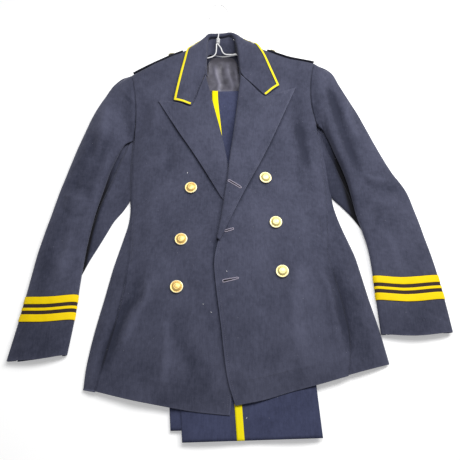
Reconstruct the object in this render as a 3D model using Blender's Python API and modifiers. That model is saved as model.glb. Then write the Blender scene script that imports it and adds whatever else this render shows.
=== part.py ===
"""A double-breasted dress uniform, laid flat and face up on its wire hanger.

The coat lies on a table: backs flat on it, fronts on top, sleeves spread, collar towards +Y.
The trousers are folded over the hanger's bar inside the coat and show at the neck and below the hem.
x runs across the garment and y up its length; z is the height over the table.
"""
import math

import bmesh
import bpy
import numpy as np

# Cloth thicknesses and the gap that a seam leaves between two pieces.
COAT_CLOTH = 0.0020
SLEEVE_CLOTH = 0.0018
LAPEL_CLOTH = 0.0024
LINING_CLOTH = 0.0010
TROUSER_CLOTH = 0.0012
BRAID_CLOTH = 0.0009
STRAP_CLOTH = 0.0030
SEAM = 0.0003

# Heights over the table at the side folds, the shoulder's turn and the sleeve's folds.
SIDE_TURN_HEIGHT = 0.0045
SHOULDER_TURN_HEIGHT = 0.0190
SIDE_ROUND = 0.125
SIDE_POWER = 1.6
SHOULDER_ROUND = 0.026
SHOULDER_POWER = 2.2

# How far the left front lies over the right one: the cloth alone, the lapel under it as well, and the lines
# between which each begins and ends.
OVER_CLOTH = 0.0034
OVER_LAPEL = 0.0040
OVER_LAPEL_FROM, OVER_LAPEL_RUN = -0.020, 0.050
OVER_UP_TO_Y, OVER_Y_RUN = 0.330, 0.170
OVER_UP_TO_X, OVER_X_RUN = 0.085, 0.050

# The middle of the garment's box in the drawing's x and y, which goes to the origin.
BOX_MIDDLE = (0.004, 0.08481)

# Trouser, braid, button and wire sizes.
STRIPE_WIDTH = 0.013
WIDE_BRAID = 0.0138
NARROW_BRAID = 0.0054
COLLAR_BRAID = 0.0044
BUTTON_RADIUS = 0.0125
STRAP_BUTTON_RADIUS = 0.0075
WIRE_RADIUS = 0.0014

# Columns: y, x of the left limit of the cloth's upper layer, x of the right limit.
# Up to the underarms these are the side folds, and above them the sleeve heads' outer folds.
SIDE_FOLDS = (
    (-0.341, -0.2600, 0.2960),
    (-0.297, -0.2590, 0.2920),
    (-0.254, -0.2575, 0.2870),
    (-0.193, -0.2490, 0.2760),
    (-0.136, -0.2380, 0.2630),
    (-0.071, -0.2260, 0.2500),
    (-0.042, -0.2190, 0.2430),
    (0.018, -0.2045, 0.2220),
    (0.056, -0.2030, 0.2120),
    (0.092, -0.2080, 0.2090),
    (0.147, -0.2115, 0.2060),
    (0.216, -0.2110, 0.1985),
    (0.262, -0.2500, 0.2200),
    (0.300, -0.2900, 0.2800),
    (0.480, -0.3000, 0.3000),
)

# Columns: x, y of the line where the shoulders turn down to the back.
SHOULDER_TURN = (
    (-0.300, 0.330),
    (-0.222, 0.381),
    (-0.135, 0.434),
    (-0.098, 0.452),
    (-0.060, 0.462),
    (0.030, 0.468),
    (0.060, 0.463),
    (0.079, 0.452),
    (0.132, 0.430),
    (0.192, 0.414),
    (0.300, 0.350),
)

# Columns: distance down from the shoulder's turn, height of the cloth in the middle.
CROWN = (
    (0.00, 0.0380),
    (0.10, 0.0350),
    (0.25, 0.0310),
    (0.42, 0.0270),
    (0.62, 0.0205),
    (0.78, 0.0138),
    (0.90, 0.0135),
)


def smooth(value):
    """A soft step from 0 to 1."""
    t = np.clip(value, 0.0, 1.0)
    return t * t * (3.0 - 2.0 * t)


def rounded(value, power):
    """A quarter round from 0 to 1, upright at 0 and level at 1."""
    t = np.clip(value, 0.0, 1.0)
    return (1.0 - (1.0 - t) ** power) ** (1.0 / power)


def column(table, index, at):
    """Reads one column of a table at a value of its first column."""
    rows = np.array(table)
    return np.interp(at, rows[:, 0], rows[:, index])


def curve(points, fractions):
    """Places on a smooth line through the points, at fractions of its length."""
    p = np.array(points, dtype=float)
    ends = np.vstack([2 * p[0] - p[1], p, 2 * p[-1] - p[-2]])
    t = np.linspace(0.0, 1.0, 13)[:-1, None]
    pieces = []
    for a, b, c, d in zip(ends, ends[1:], ends[2:], ends[3:]):
        pieces.append(0.5 * (2 * b + (c - a) * t + (2 * a - 5 * b + 4 * c - d) * t**2
                             + (3 * b - 3 * c + d - a) * t**3))
    dense = np.vstack(pieces + [p[-1:]])
    run = np.concatenate([[0.0], np.cumsum(np.linalg.norm(np.diff(dense, axis=0), axis=1))])
    at = np.asarray(fractions) * run[-1]
    return np.column_stack([np.interp(at, run, dense[:, k]) for k in range(p.shape[1])])


def patch(first, last, start, end, us, vs):
    """A sheet stretched between four lines: first and last at v 0 and 1, start and end at u 0 and 1."""
    u = np.asarray(us)[None, :, None]
    v = np.asarray(vs)[:, None, None]
    low, high = curve(first, us)[None], curve(last, us)[None]
    left, right = curve(start, vs)[:, None], curve(end, vs)[:, None]
    corners = ((1 - u) * (1 - v) * low[:, :1] + u * (1 - v) * low[:, -1:]
               + (1 - u) * v * high[:, :1] + u * v * high[:, -1:])
    return (1 - v) * low + v * high + (1 - u) * left + u * right - corners


def body_height(x, y):
    """Height of the coat's fronts over the table."""
    turn = column(SHOULDER_TURN, 1, x)
    crown = column(CROWN, 1, turn - y)
    across = np.minimum(x - column(SIDE_FOLDS, 1, y), column(SIDE_FOLDS, 2, y) - x)
    z = SIDE_TURN_HEIGHT + (crown - SIDE_TURN_HEIGHT) * rounded(across / SIDE_ROUND, SIDE_POWER)
    top = np.minimum(SHOULDER_TURN_HEIGHT, z)
    return top + (z - top) * rounded((turn - y) / SHOULDER_ROUND, SHOULDER_POWER)


def over_height(x, y):
    """How far the left front lies over the right one, which it covers past the middle."""
    lapel_below = smooth((y - OVER_LAPEL_FROM) / OVER_LAPEL_RUN)
    apart = smooth((OVER_UP_TO_Y - y) / OVER_Y_RUN)
    covered = smooth((OVER_UP_TO_X - x) / OVER_X_RUN)
    return (OVER_CLOTH + OVER_LAPEL * lapel_below) * apart * covered


FOLD_FADE = 0.25


def folds_height(x, y, folds):
    """Soft ridges and troughs, each a straight line from one place to another, dying out at both ends."""
    z = np.zeros_like(x)
    for x0, y0, x1, y1, half_width, height in folds:
        length = math.hypot(x1 - x0, y1 - y0)
        along = ((x - x0) * (x1 - x0) + (y - y0) * (y1 - y0)) / length**2
        off = ((x - x0) * (y1 - y0) - (y - y0) * (x1 - x0)) / length
        fade = smooth(along / FOLD_FADE) * smooth((1.0 - along) / FOLD_FADE)
        z = z + height * fade * np.exp(-(off / half_width) ** 2)
    return z


# Columns: x and y where a fold starts, x and y where it ends, half its width, its height.
FRONT_FOLDS = (
    (0.134, 0.270, 0.160, 0.120, 0.012, -0.0030),
    (0.120, -0.030, 0.112, -0.280, 0.014, 0.0022),
    (0.170, -0.020, 0.222, -0.262, 0.010, 0.0026),
    (-0.165, -0.040, -0.205, -0.180, 0.012, -0.0028),
    (-0.120, -0.130, -0.125, -0.325, 0.011, 0.0028),
    (-0.100, -0.180, 0.000, -0.290, 0.020, -0.0022),
    (-0.118, 0.215, -0.122, 0.150, 0.012, -0.0020),
)
LEFT_SLEEVE_FOLDS = (
    (-0.225, 0.330, -0.285, 0.100, 0.016, -0.0030),
    (-0.290, 0.150, -0.350, 0.060, 0.013, -0.0026),
    (-0.300, -0.010, -0.365, -0.060, 0.016, -0.0022),
)
RIGHT_SLEEVE_FOLDS = (
    (0.215, 0.350, 0.262, 0.140, 0.015, -0.0035),
    (0.262, 0.120, 0.350, 0.085, 0.015, -0.0034),
    (0.300, 0.080, 0.318, -0.030, 0.013, -0.0026),
)


def fabric(name, colour, roughness, metallic=0.0):
    """A plain Principled BSDF."""
    material = bpy.data.materials.new(name)
    material.use_nodes = True
    shader = material.node_tree.nodes["Principled BSDF"]
    shader.inputs["Base Color"].default_value = (*colour, 1.0)
    shader.inputs["Roughness"].default_value = roughness
    shader.inputs["Metallic"].default_value = metallic
    material.diffuse_color = (*colour, 1.0)
    return material


COAT = (0.075, 0.080, 0.115)
TROUSERS = (0.055, 0.065, 0.130)
LINING = (0.130, 0.130, 0.160)
YELLOW = (0.900, 0.660, 0.020)
GILT = (0.830, 0.640, 0.250)
WHITE = (0.850, 0.850, 0.850)


def empty_the_scene():
    """Removes what a new file starts with."""
    for old in list(bpy.data.objects):
        bpy.data.objects.remove(old, do_unlink=True)


def new_collection(name):
    """A collection in the scene."""
    collection = bpy.data.collections.new(name)
    bpy.context.scene.collection.children.link(collection)
    return collection


def grid_mesh(name, grid, up=True, ring=False):
    """A mesh of four-sided faces from rows of places, its faces turned up or down on the whole."""
    rows, columns = grid.shape[:2]
    quads = []
    for i in range(rows - 1):
        for j in range(columns if ring else columns - 1):
            k = (j + 1) % columns
            quads.append((i * columns + j, i * columns + k, (i + 1) * columns + k, (i + 1) * columns + j))
    mesh = bpy.data.meshes.new(name)
    mesh.from_pydata(grid.reshape(-1, 3).tolist(), [], quads)
    mesh.update()
    level = [face for face in mesh.polygons if abs(face.normal.z) > 0.5]
    side = 1.0 if up else -1.0
    outermost = max(side * face.center.z for face in level)
    lean = sum(face.normal.z * face.area for face in level if side * face.center.z > outermost - 0.001)
    if side * lean < 0.0:
        mesh.flip_normals()
    return mesh


def add_object(name, mesh, material):
    """An object with one material, placed with the others."""
    thing = bpy.data.objects.new(name, mesh)
    mesh.materials.append(material)
    mesh.shade_smooth()
    PIECES.objects.link(thing)
    thing.parent = MIDDLE
    return thing


def cloth(name, grid, thickness, colour, up=True, ring=False, outward=False):
    """A cloth wall: the grid is its outer face, or its inner one where it grows outward."""
    thing = add_object(name, grid_mesh(name, grid, up, ring), fabric(name, colour, 0.85))
    wall = thing.modifiers.new("wall", "SOLIDIFY")
    wall.thickness = thickness
    wall.offset = 1.0 if outward else -1.0
    return thing


def with_height(plan, height):
    """Adds heights to places on the table."""
    return np.dstack([plan, height])


def normals(grid, up=True):
    """The direction square to a grid's surface at each of its places."""
    across = np.gradient(grid, axis=1)
    along = np.gradient(grid, axis=0)
    n = np.cross(across, along)
    n /= np.linalg.norm(n, axis=2, keepdims=True)
    middle = n[grid.shape[0] // 2, grid.shape[1] // 2]
    return n if (middle[2] > 0.0) == up else -n


def sample(grid, rows, columns):
    """Places between a grid's own, at fractional row and column numbers."""
    i = np.clip(np.floor(rows).astype(int), 0, grid.shape[0] - 2)
    j = np.clip(np.floor(columns).astype(int), 0, grid.shape[1] - 2)
    s = (rows - i)[..., None]
    t = (columns - j)[..., None]
    return ((1 - s) * (1 - t) * grid[i, j] + s * (1 - t) * grid[i + 1, j]
            + (1 - s) * t * grid[i, j + 1] + s * t * grid[i + 1, j + 1])


def laid_on(grid, rows, columns, lift=SEAM):
    """Places on a panel, moved out from it."""
    face = normals(grid)
    return sample(grid, rows, columns) + lift * sample(face, rows, columns)


def spread(low, high, count):
    """Evenly spaced values."""
    return np.linspace(low, high, count)


def crowded(count, at_start=False, at_end=False):
    """Values from 0 to 1, closer together towards the ends that turn down steeply."""
    t = np.linspace(0.0, 1.0, count)
    if at_start and at_end:
        return 0.5 - 0.5 * np.cos(np.pi * t)
    if at_end:
        return np.sin(0.5 * np.pi * t)
    return 1.0 - np.cos(0.5 * np.pi * t)


LIP = 0.0012
SIDE_TURN_RADIUS = 0.006
SIDE_SEAM = 0.0007
RIGHT_TUCK = 0.008
TUCK_DEPTH = 0.0046
BACK_TURN = 0.016
BACK_SEAM_X = -0.014
BACK_TOP_MIDDLE = 0.4425
NECK_HALF = 0.052
NECK_DROP = 0.0070

# The seam from each front to its side body, from the hem up to the underarm, then round the armhole.
LEFT_SEAM = ((-0.236, -0.3010), (-0.222, -0.230), (-0.205, -0.150), (-0.196, -0.069), (-0.199, 0.038),
             (-0.203, 0.130), (-0.206, 0.212))
LEFT_ARMHOLE = ((-0.206, 0.212), (-0.2045, 0.240), (-0.204, 0.265), (-0.206, 0.305), (-0.213, 0.345),
                (-0.222, 0.3805))
RIGHT_SEAM = ((0.209, -0.2755), (0.218, -0.215), (0.212, -0.155), (0.202, -0.100), (0.190, -0.058),
              (0.193, 0.000), (0.197, 0.100), (0.191, 0.200), (0.187, 0.250))
RIGHT_ARMHOLE = ((0.187, 0.250), (0.179, 0.275), (0.176, 0.306), (0.177, 0.340), (0.182, 0.375),
                 (0.191, 0.4135))

# The straight seams underneath, between each side body and its back, from the hem to the underarm.
LEFT_BACK_SEAM = ((-0.200, -0.297), (-0.180, 0.220))
RIGHT_BACK_SEAM = ((0.240, -0.254), (0.165, 0.250))

# The fronts' edges below the roll, and the hems, from the outer side to the front edge.
LEFT_HEM = ((-0.236, -0.3010), (-0.175, -0.315), (-0.121, -0.325), (-0.061, -0.335), (0.000, -0.341))
LEFT_EDGE = ((0.000, -0.341), (0.012, -0.200), (0.020, 0.000), (0.016, 0.034), (0.003, 0.062),
             (-0.012, 0.146), (-0.026, 0.217), (-0.037, 0.263), (-0.053, 0.331), (-0.0640, 0.372),
             (-0.0665, 0.405), (-0.067, 0.4605))
LEFT_SHOULDER = ((-0.222, 0.3805), (-0.135, 0.4335), (-0.098, 0.4515), (-0.067, 0.4605))
RIGHT_HEM = ((0.009, -0.325), (0.058, -0.316), (0.108, -0.302), (0.155, -0.290), (0.209, -0.2755))
RIGHT_EDGE = ((0.009, -0.325), (-0.002, -0.293), (-0.012, -0.230), (-0.017, -0.182), (-0.025, -0.127),
              (-0.030, -0.072), (-0.030, -0.045), (-0.0280, -0.030), (-0.0185, -0.016), (-0.0105, 0.021),
              (-0.004, 0.066), (0.004, 0.125), (0.007, 0.155), (0.017, 0.233), (0.026, 0.317),
              (0.032, 0.374), (0.033, 0.4665))
RIGHT_SHOULDER = ((0.033, 0.4665), (0.060, 0.4625), (0.079, 0.4515), (0.132, 0.4295), (0.191, 0.4135))

# Columns: x, y of the backs' upper edge, which runs along the shoulders and dips at the neck.
BACK_TOP = (
    (-0.222, 0.3805), (-0.135, 0.4335), (-0.098, 0.4515), (-0.066, 0.4600), (-0.050, 0.4480),
    (-0.030, 0.4430), (0.002, 0.4430), (0.020, 0.4490), (0.036, 0.4640),
    (0.060, 0.4625), (0.079, 0.4515), (0.132, 0.4295), (0.191, 0.4135),
)

LEFT_SIDE_FOLD = tuple((row[1], row[0]) for row in SIDE_FOLDS[1:12])
RIGHT_SIDE_FOLD = tuple((row[2], row[0]) for row in SIDE_FOLDS[2:12])


def joined_lines(lower, upper):
    """Two lines end to end."""
    return tuple(lower) + tuple(upper[1:])


def shifted(points, dx, dy=0.0):
    """A line moved on the table."""
    return tuple((x + dx, y + dy) for x, y in points)


def on_line(ends, y):
    """x on a straight line at a given y."""
    (x0, y0), (x1, y1) = ends
    return x0 + (x1 - x0) * (y - y0) / (y1 - y0)


def between(a, b, count):
    """Places along a straight line, both ends included."""
    return [(a[0] + (b[0] - a[0]) * t, a[1] + (b[1] - a[1]) * t) for t in spread(0.0, 1.0, count)]


def upright_lip(grid, edge_height, lip):
    """Ends a piece with a short upright strip, so that it meets its neighbour edge to edge."""
    last = grid[-1:].copy()
    last[..., 2] = edge_height
    grid[-1, :, 2] = edge_height + lip
    return np.concatenate([grid, last], axis=0)


FRONT_ROWS = np.concatenate([spread(0.0, 0.93, 18), [0.96, 0.98, 0.992, 1.0]])
FRONT_LEFT_COLUMNS = 0.35 * crowded(12, at_end=True) + 0.65 * spread(0.0, 1.0, 12)
FRONT_RIGHT_COLUMNS = spread(0.0, 1.0, 13)
SIDE_ROWS = 17
SIDE_COLUMNS = 6
SIDE_TURN_ANGLES = (0.50, 1.05, 0.5 * math.pi)
TUCK_WIDTH = 0.030

# The backs: rows below and above the underarm's corner, columns, how far the hem drops to the middle seam, how
# far the corner rises into the armhole, and the share of that rise at which a row lies.
BACK_LOW_ROWS = 7
BACK_HIGH_ROWS = (0.965, 0.985, 0.994, 1.0)
BACK_COLUMNS = 7
BACK_HEM_DROP = 0.010
BACK_CORNER_RISE = 0.022
BACK_CORNER_SHARE = 0.3


def front_left_grid():
    """The wearer's right front, which lies under the other one."""
    outer = joined_lines(LEFT_SEAM, LEFT_ARMHOLE)
    plan = patch(LEFT_HEM, LEFT_SHOULDER, outer, LEFT_EDGE, FRONT_LEFT_COLUMNS, FRONT_ROWS)
    x, y = plan[..., 0], plan[..., 1]
    height = body_height(x, y) + folds_height(x, y, FRONT_FOLDS)
    return upright_lip(with_height(plan, height), SHOULDER_TURN_HEIGHT, LIP)


def front_right_grid():
    """The wearer's left front, which lies on top."""
    outer = joined_lines(RIGHT_SEAM, RIGHT_ARMHOLE)
    plan = patch(RIGHT_HEM, RIGHT_SHOULDER, RIGHT_EDGE, outer, FRONT_RIGHT_COLUMNS, FRONT_ROWS)
    x, y = plan[..., 0], plan[..., 1]
    over = over_height(x, y) * smooth((column(SHOULDER_TURN, 1, x) - y) / SHOULDER_ROUND)
    height = body_height(x, y) + over + folds_height(x, y, FRONT_FOLDS)
    return upright_lip(with_height(plan, height), SHOULDER_TURN_HEIGHT, LIP)


def side_grid(seam, fold, back_seam, tuck, inward):
    """A side body: from its seam on top, round the side fold, to its seam underneath."""
    top_seam = shifted(seam, inward * (tuck - SIDE_SEAM))
    hem_y = back_seam[0][1]
    hem = (top_seam[0], (fold[0][0], hem_y))
    arm = (top_seam[-1], fold[-1])
    plan = patch(hem, arm, top_seam, fold, crowded(SIDE_COLUMNS, at_end=True), spread(0.0, 1.0, SIDE_ROWS))
    x, y = plan[..., 0], plan[..., 1]
    sunk = TUCK_DEPTH * (1.0 - smooth(np.abs(x - plan[:, :1, 0]) / TUCK_WIDTH)) if tuck else 0.0
    top = with_height(plan, np.maximum(body_height(x, y) - sunk, SIDE_TURN_HEIGHT))
    end = top[:, -1]
    columns = [top]
    for angle in SIDE_TURN_ANGLES:
        turned = end.copy()
        turned[:, 0] += inward * SIDE_TURN_RADIUS * (1.0 - math.cos(angle))
        turned[:, 2] = end[:, 2] * (1.0 - math.sin(angle))
        columns.append(turned[:, None])
    under = end.copy()
    under[:, 0] = on_line(back_seam, end[:, 1])
    under[:, 2] = 0.0
    columns.append(under[:, None])
    return np.concatenate(columns, axis=1)


def back_grid(seam, armhole, inward, middle_x):
    """A back, flat on the table, turning up to the shoulder seam."""
    hem, underarm = shifted(seam, 2.0 * inward * SEAM)
    corner = (underarm[0], underarm[1] + BACK_CORNER_RISE)
    outer = (*between(hem, underarm, BACK_LOW_ROWS), corner, *armhole[2:])
    top = [row for row in BACK_TOP if (middle_x - row[0]) * inward > 0.001]
    if inward < 0.0:
        top.reverse()
    top = (outer[-1],) + tuple(top[1:]) + ((middle_x, BACK_TOP_MIDDLE),)
    low = (outer[0], (middle_x, hem[1] - BACK_HEM_DROP))
    inner = (low[1], (middle_x, BACK_TOP_MIDDLE))
    lengths = np.linalg.norm(np.diff(np.array(outer), axis=0), axis=1)
    last = BACK_LOW_ROWS - 1
    share = (lengths[:last].sum() + BACK_CORNER_SHARE * lengths[last]) / lengths.sum()
    rows = np.concatenate([spread(0.0, share, BACK_LOW_ROWS), spread(share, 0.94, 4)[1:], BACK_HIGH_ROWS])
    plan = patch(low, top, outer, inner, spread(0.0, 1.0, BACK_COLUMNS), rows)
    left = np.clip((plan[-1:, :, 1] - plan[..., 1]) / BACK_TURN, 0.0, 1.0)
    neck = smooth((NECK_HALF - np.abs(plan[-1, :, 0] - BACK_SEAM_X)) / (0.5 * NECK_HALF))
    edge = SHOULDER_TURN_HEIGHT - 2.0 * SEAM - NECK_DROP * neck
    height = (edge - LIP) * (1.0 - np.sqrt(1.0 - (1.0 - left) ** 2))
    return upright_lip(with_height(plan, height), edge, -LIP)


def coat_body():
    """Fronts, side bodies and backs."""
    cloth("front_left", front_left_grid(), COAT_CLOTH, COAT)
    cloth("front_right", front_right_grid(), COAT_CLOTH, COAT)
    left = side_grid(LEFT_SEAM, LEFT_SIDE_FOLD, LEFT_BACK_SEAM, 0.0, 1.0)
    right = side_grid(RIGHT_SEAM, RIGHT_SIDE_FOLD, RIGHT_BACK_SEAM, RIGHT_TUCK, -1.0)
    cloth("side_left", left, COAT_CLOTH, COAT)
    cloth("side_right", right, COAT_CLOTH, COAT)
    left = back_grid(LEFT_BACK_SEAM, LEFT_ARMHOLE, 1.0, BACK_SEAM_X - 0.5 * SEAM)
    right = back_grid(RIGHT_BACK_SEAM, RIGHT_ARMHOLE, -1.0, BACK_SEAM_X + 0.5 * SEAM)
    cloth("back_left", left, COAT_CLOTH, COAT, up=False)
    cloth("back_right", right, COAT_CLOTH, COAT, up=False)


LAPEL_LIFT = LAPEL_CLOTH + 0.0012
LAPEL_PUFF = 0.0010
ROLL_DROP = 0.0050
LAPEL_ROLL_COLUMNS = (0.0, 0.03)
LAPEL_ROLL_DROPS = (0.0022, 0.0009)
LAPEL_ROWS = 13
LEFT_ROLL = ((0.0115, 0.062), (0.0040, 0.105), (-0.004, 0.146), (-0.018, 0.217), (-0.029, 0.263), (-0.045, 0.331),
             (-0.0555, 0.372))
RIGHT_ROLL = ((-0.0262, -0.019), (-0.018, 0.021), (-0.012, 0.066), (-0.004, 0.125), (-0.001, 0.155),
              (0.009, 0.233), (0.018, 0.317), (0.0245, 0.374))
GORGE_LEFT = ((-0.0555, 0.372), (-0.0657, 0.341), (-0.083, 0.288))
GORGE_RIGHT = ((0.0245, 0.374), (0.048, 0.3457), (0.076, 0.312))
GORGE_GAP = 0.0012
LEFT_LAPEL_TIP = ((-0.102, 0.2925), (-0.121, 0.2980), (-0.138, 0.2990), (-0.156, 0.299))
RIGHT_LAPEL_TIP = ((0.099, 0.318), (0.122, 0.3260), (0.145, 0.335))
LEFT_LAPEL_EDGE = ((0.000, 0.050), (-0.014, 0.064), (-0.055, 0.135), (-0.105, 0.216), LEFT_LAPEL_TIP[-1])
RIGHT_LAPEL_EDGE = ((-0.0195, -0.024), (-0.005, 0.006), (0.029, 0.080), (0.064, 0.150), (0.105, 0.242),
                    RIGHT_LAPEL_TIP[-1])


def lying_height(x, y):
    """Height of the fronts without their turn at the shoulders, for what is laid over them."""
    crown = column(CROWN, 1, column(SHOULDER_TURN, 1, x) - y)
    across = np.minimum(x - column(SIDE_FOLDS, 1, y), column(SIDE_FOLDS, 2, y) - x)
    return SIDE_TURN_HEIGHT + (crown - SIDE_TURN_HEIGHT) * rounded(across / SIDE_ROUND, SIDE_POWER)


def leaf_height(x, y, on_right):
    """Height of the lapels and the collar's leaf, which lie turned down on the fronts."""
    over = over_height(x, y) if on_right else 0.0
    return lying_height(x, y) + over + LAPEL_LIFT + folds_height(x, y, FRONT_FOLDS)


def lapel_grid(roll, outer_edge, gorge, tip, on_right):
    """A lapel, from its outer edge to its roll line, where it turns down over the front's edge."""
    outward = 1.0 if on_right else -1.0
    top = shifted(gorge, -outward * GORGE_GAP, -GORGE_GAP) + tuple(tip)
    roll = tuple(roll[:-1]) + (top[0],)
    us = np.concatenate([LAPEL_ROLL_COLUMNS, spread(0.12, 1.0, 7)])
    plan = patch((roll[0], outer_edge[0]), top, roll, outer_edge, us, spread(0.0, 1.0, LAPEL_ROWS))
    height = leaf_height(plan[..., 0], plan[..., 1], on_right) + LAPEL_PUFF * np.sin(np.pi * us)[None, :]
    height[:, :2] -= LAPEL_ROLL_DROPS
    face = with_height(plan, height)
    turned = face[:, :1].copy()
    turned[..., 2] -= ROLL_DROP - LAPEL_ROLL_DROPS[0]
    return np.concatenate([turned, face], axis=1)


def lapels():
    """Both lapels: the wearer's right one is partly under the left one."""
    left = lapel_grid(LEFT_ROLL, LEFT_LAPEL_EDGE, GORGE_LEFT, LEFT_LAPEL_TIP, False)
    right = lapel_grid(RIGHT_ROLL, RIGHT_LAPEL_EDGE, GORGE_RIGHT, RIGHT_LAPEL_TIP, True)
    cloth("lapel_left", left, LAPEL_CLOTH, COAT)
    cloth("lapel_right", right, LAPEL_CLOTH, COAT)


# The collar, from the left front's notch round the back of the neck to the right front's.
# Columns: outer edge x, y and height, crest x, y and height, foot of the stand x, y and height.
# A height of 0 lies on the front, and a foot of three zeros means that the stand has not begun.
COLLAR = (
    (-0.1220, 0.301, 0.0, -0.0830, 0.288, 0.0, 0.0, 0.0, 0.0),
    (-0.1180, 0.330, 0.0, -0.0743, 0.3145, 0.0, 0.0, 0.0, 0.0),
    (-0.1130, 0.360, 0.0, -0.0657, 0.341, 0.0, 0.0, 0.0, 0.0),
    (-0.1080, 0.388, 0.0, -0.0555, 0.372, 0.0, -0.0505, 0.374, 0.0280),
    (-0.1020, 0.420, 0.0, -0.0560, 0.405, 0.0, -0.0525, 0.405, 0.0268),
    (-0.0975, 0.4435, 0.0375, -0.0555, 0.440, 0.0430, -0.0515, 0.431, 0.0262),
    (-0.0790, 0.4725, 0.0230, -0.0540, 0.468, 0.0400, -0.0440, 0.4435, 0.0195),
    (-0.0560, 0.4970, 0.0090, -0.0495, 0.4840, 0.0380, -0.0330, 0.4455, 0.0154),
    (-0.0200, 0.5020, 0.0045, -0.0210, 0.4875, 0.0362, -0.0150, 0.4455, 0.0140),
    (0.0190, 0.5020, 0.0090, 0.0055, 0.4900, 0.0380, 0.0005, 0.4460, 0.0168),
    (0.0480, 0.4765, 0.0232, 0.0135, 0.471, 0.0400, 0.0105, 0.4460, 0.0230),
    (0.0630, 0.4575, 0.0382, 0.0190, 0.444, 0.0430, 0.0155, 0.4400, 0.0268),
    (0.0780, 0.428, 0.0, 0.0225, 0.410, 0.0, 0.0195, 0.407, 0.0280),
    (0.0910, 0.392, 0.0, 0.0245, 0.374, 0.0, 0.0215, 0.374, 0.0300),
    (0.1000, 0.365, 0.0, 0.0480, 0.3457, 0.0, 0.0, 0.0, 0.0),
    (0.1080, 0.339, 0.0, 0.0760, 0.312, 0.0, 0.0, 0.0, 0.0),
)
COLLAR_PUFF = 0.0022

# The crest's three places. Columns: way in from the crest, the same once the stand has begun, drop, and the
# same once the stand has begun. Where there is no stand, only the way back from the crest.
CREST_WITH_STAND = (
    (-0.0040, 0.0, 0.0004, 0.0),
    (-0.0020, 0.0035, 0.0004, 0.0018),
    (-0.0006, 0.0034, 0.0015, 0.0060),
)
CREST_ALONE = (0.0070, 0.0030, 0.0014)

# At the back the leaf falls steeply: where that is so, how far up it bends, and how far out and up.
COLLAR_STEEP = 0.010
COLLAR_BEND_SHARE = 0.55
COLLAR_BEND = (0.0, 0.003, 0.003)
COLLAR_ROWS = 28
STAND_ROWS = 17
STAND_CLOTH = 0.0016
STAND_STARTS = 0.380


def collar_sections():
    """Each row's section from the outer edge over the crest to the stand's seam, and the stand's seam and foot."""
    sections = []
    feet = []
    for ox, oy, oz, cx, cy, cz, fx, fy, fz in COLLAR:
        on_right = cx > BACK_SEAM_X
        o = np.array((ox, oy, oz or float(leaf_height(np.array(ox), np.array(oy), on_right))))
        c = np.array((cx, cy, cz or float(leaf_height(np.array(cx), np.array(cy), on_right))))
        inward = (c - o) * np.array((1.0, 1.0, 0.0))
        inward /= np.linalg.norm(inward)
        down = np.array((0.0, 0.0, -1.0))
        if fz:
            begun = 0.0 if cy < STAND_STARTS else 1.0
            before, shoulder, seam = (c + (flat + turned * begun) * inward + (drop + hooked * begun) * down
                                      for flat, turned, drop, hooked in CREST_WITH_STAND)
            feet.append((seam, np.array((fx, fy, fz))))
        else:
            before, shoulder, seam = (c - back * inward for back in CREST_ALONE)
        if abs(c[2] - o[2]) > COLLAR_STEEP:
            middle = o + COLLAR_BEND_SHARE * (c - o) + np.array(COLLAR_BEND)
        else:
            middle = 0.5 * (o + c) - COLLAR_PUFF * down
        quarter = 0.5 * (o + middle) - 0.3 * COLLAR_PUFF * down
        sections.append((o, quarter, middle, 0.5 * (middle + before), before, shoulder, seam))
    return sections, feet


def collar_grid():
    """The collar's leaf with its crest."""
    sections = collar_sections()[0]
    fine = spread(0.0, 1.0, COLLAR_ROWS)
    return np.stack([curve([row[k] for row in sections], fine) for k in range(len(sections[0]))], axis=1)


def stand_grid():
    """The stand inside the neck, from under the crest down to the neck seam."""
    feet = collar_sections()[1]
    fine = spread(0.0, 1.0, STAND_ROWS)
    top = curve([pair[0] for pair in feet], fine)
    foot = curve([pair[1] for pair in feet], fine)
    down = (foot - top) / np.linalg.norm(foot - top, axis=1, keepdims=True)
    top = top + 6.0 * SEAM * down
    return np.stack([top, 0.5 * (top + foot), foot], axis=1)


def collar():
    """The collar and its stand."""
    cloth("collar", collar_grid(), LAPEL_CLOTH, COAT)
    cloth("collar_stand", stand_grid(), STAND_CLOTH, COAT)


# Each sleeve's outer fold, from the shoulder's tip to the cuff, and its inner fold from the underarm.
LEFT_OUTER = ((-0.2228, 0.3812), (-0.247, 0.372), (-0.268, 0.343), (-0.284, 0.313), (-0.297, 0.285),
              (-0.317, 0.225), (-0.333, 0.165), (-0.347, 0.108), (-0.358, 0.053), (-0.368, 0.000),
              (-0.377, -0.050), (-0.385, -0.122), (-0.392, -0.180), (-0.398, -0.220), (-0.402, -0.249))
LEFT_INNER = ((-0.2115, 0.213), (-0.227, 0.203), (-0.240, 0.170), (-0.252, 0.133), (-0.260, 0.094),
              (-0.270, 0.049), (-0.277, 0.003), (-0.282, -0.044), (-0.285, -0.099), (-0.288, -0.168),
              (-0.294, -0.238))
RIGHT_OUTER = ((0.1918, 0.4142), (0.214, 0.405), (0.232, 0.383), (0.247, 0.355), (0.261, 0.328),
               (0.274, 0.298), (0.287, 0.270), (0.297, 0.240), (0.320, 0.180), (0.347, 0.122),
               (0.361, 0.099), (0.370, 0.066), (0.384, 0.000), (0.394, -0.050), (0.401, -0.099),
               (0.406, -0.145), (0.410, -0.197))
RIGHT_INNER = ((0.1905, 0.2505), (0.201, 0.243), (0.213, 0.213), (0.228, 0.165), (0.241, 0.122),
               (0.249, 0.076), (0.256, 0.031), (0.268, -0.019), (0.273, -0.065), (0.275, -0.130),
               (0.277, -0.201))
LEFT_CUFF = ((-0.294, -0.238), (-0.345, -0.2465), (-0.402, -0.249))
RIGHT_CUFF = ((0.277, -0.201), (0.340, -0.2045), (0.410, -0.197))

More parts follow.
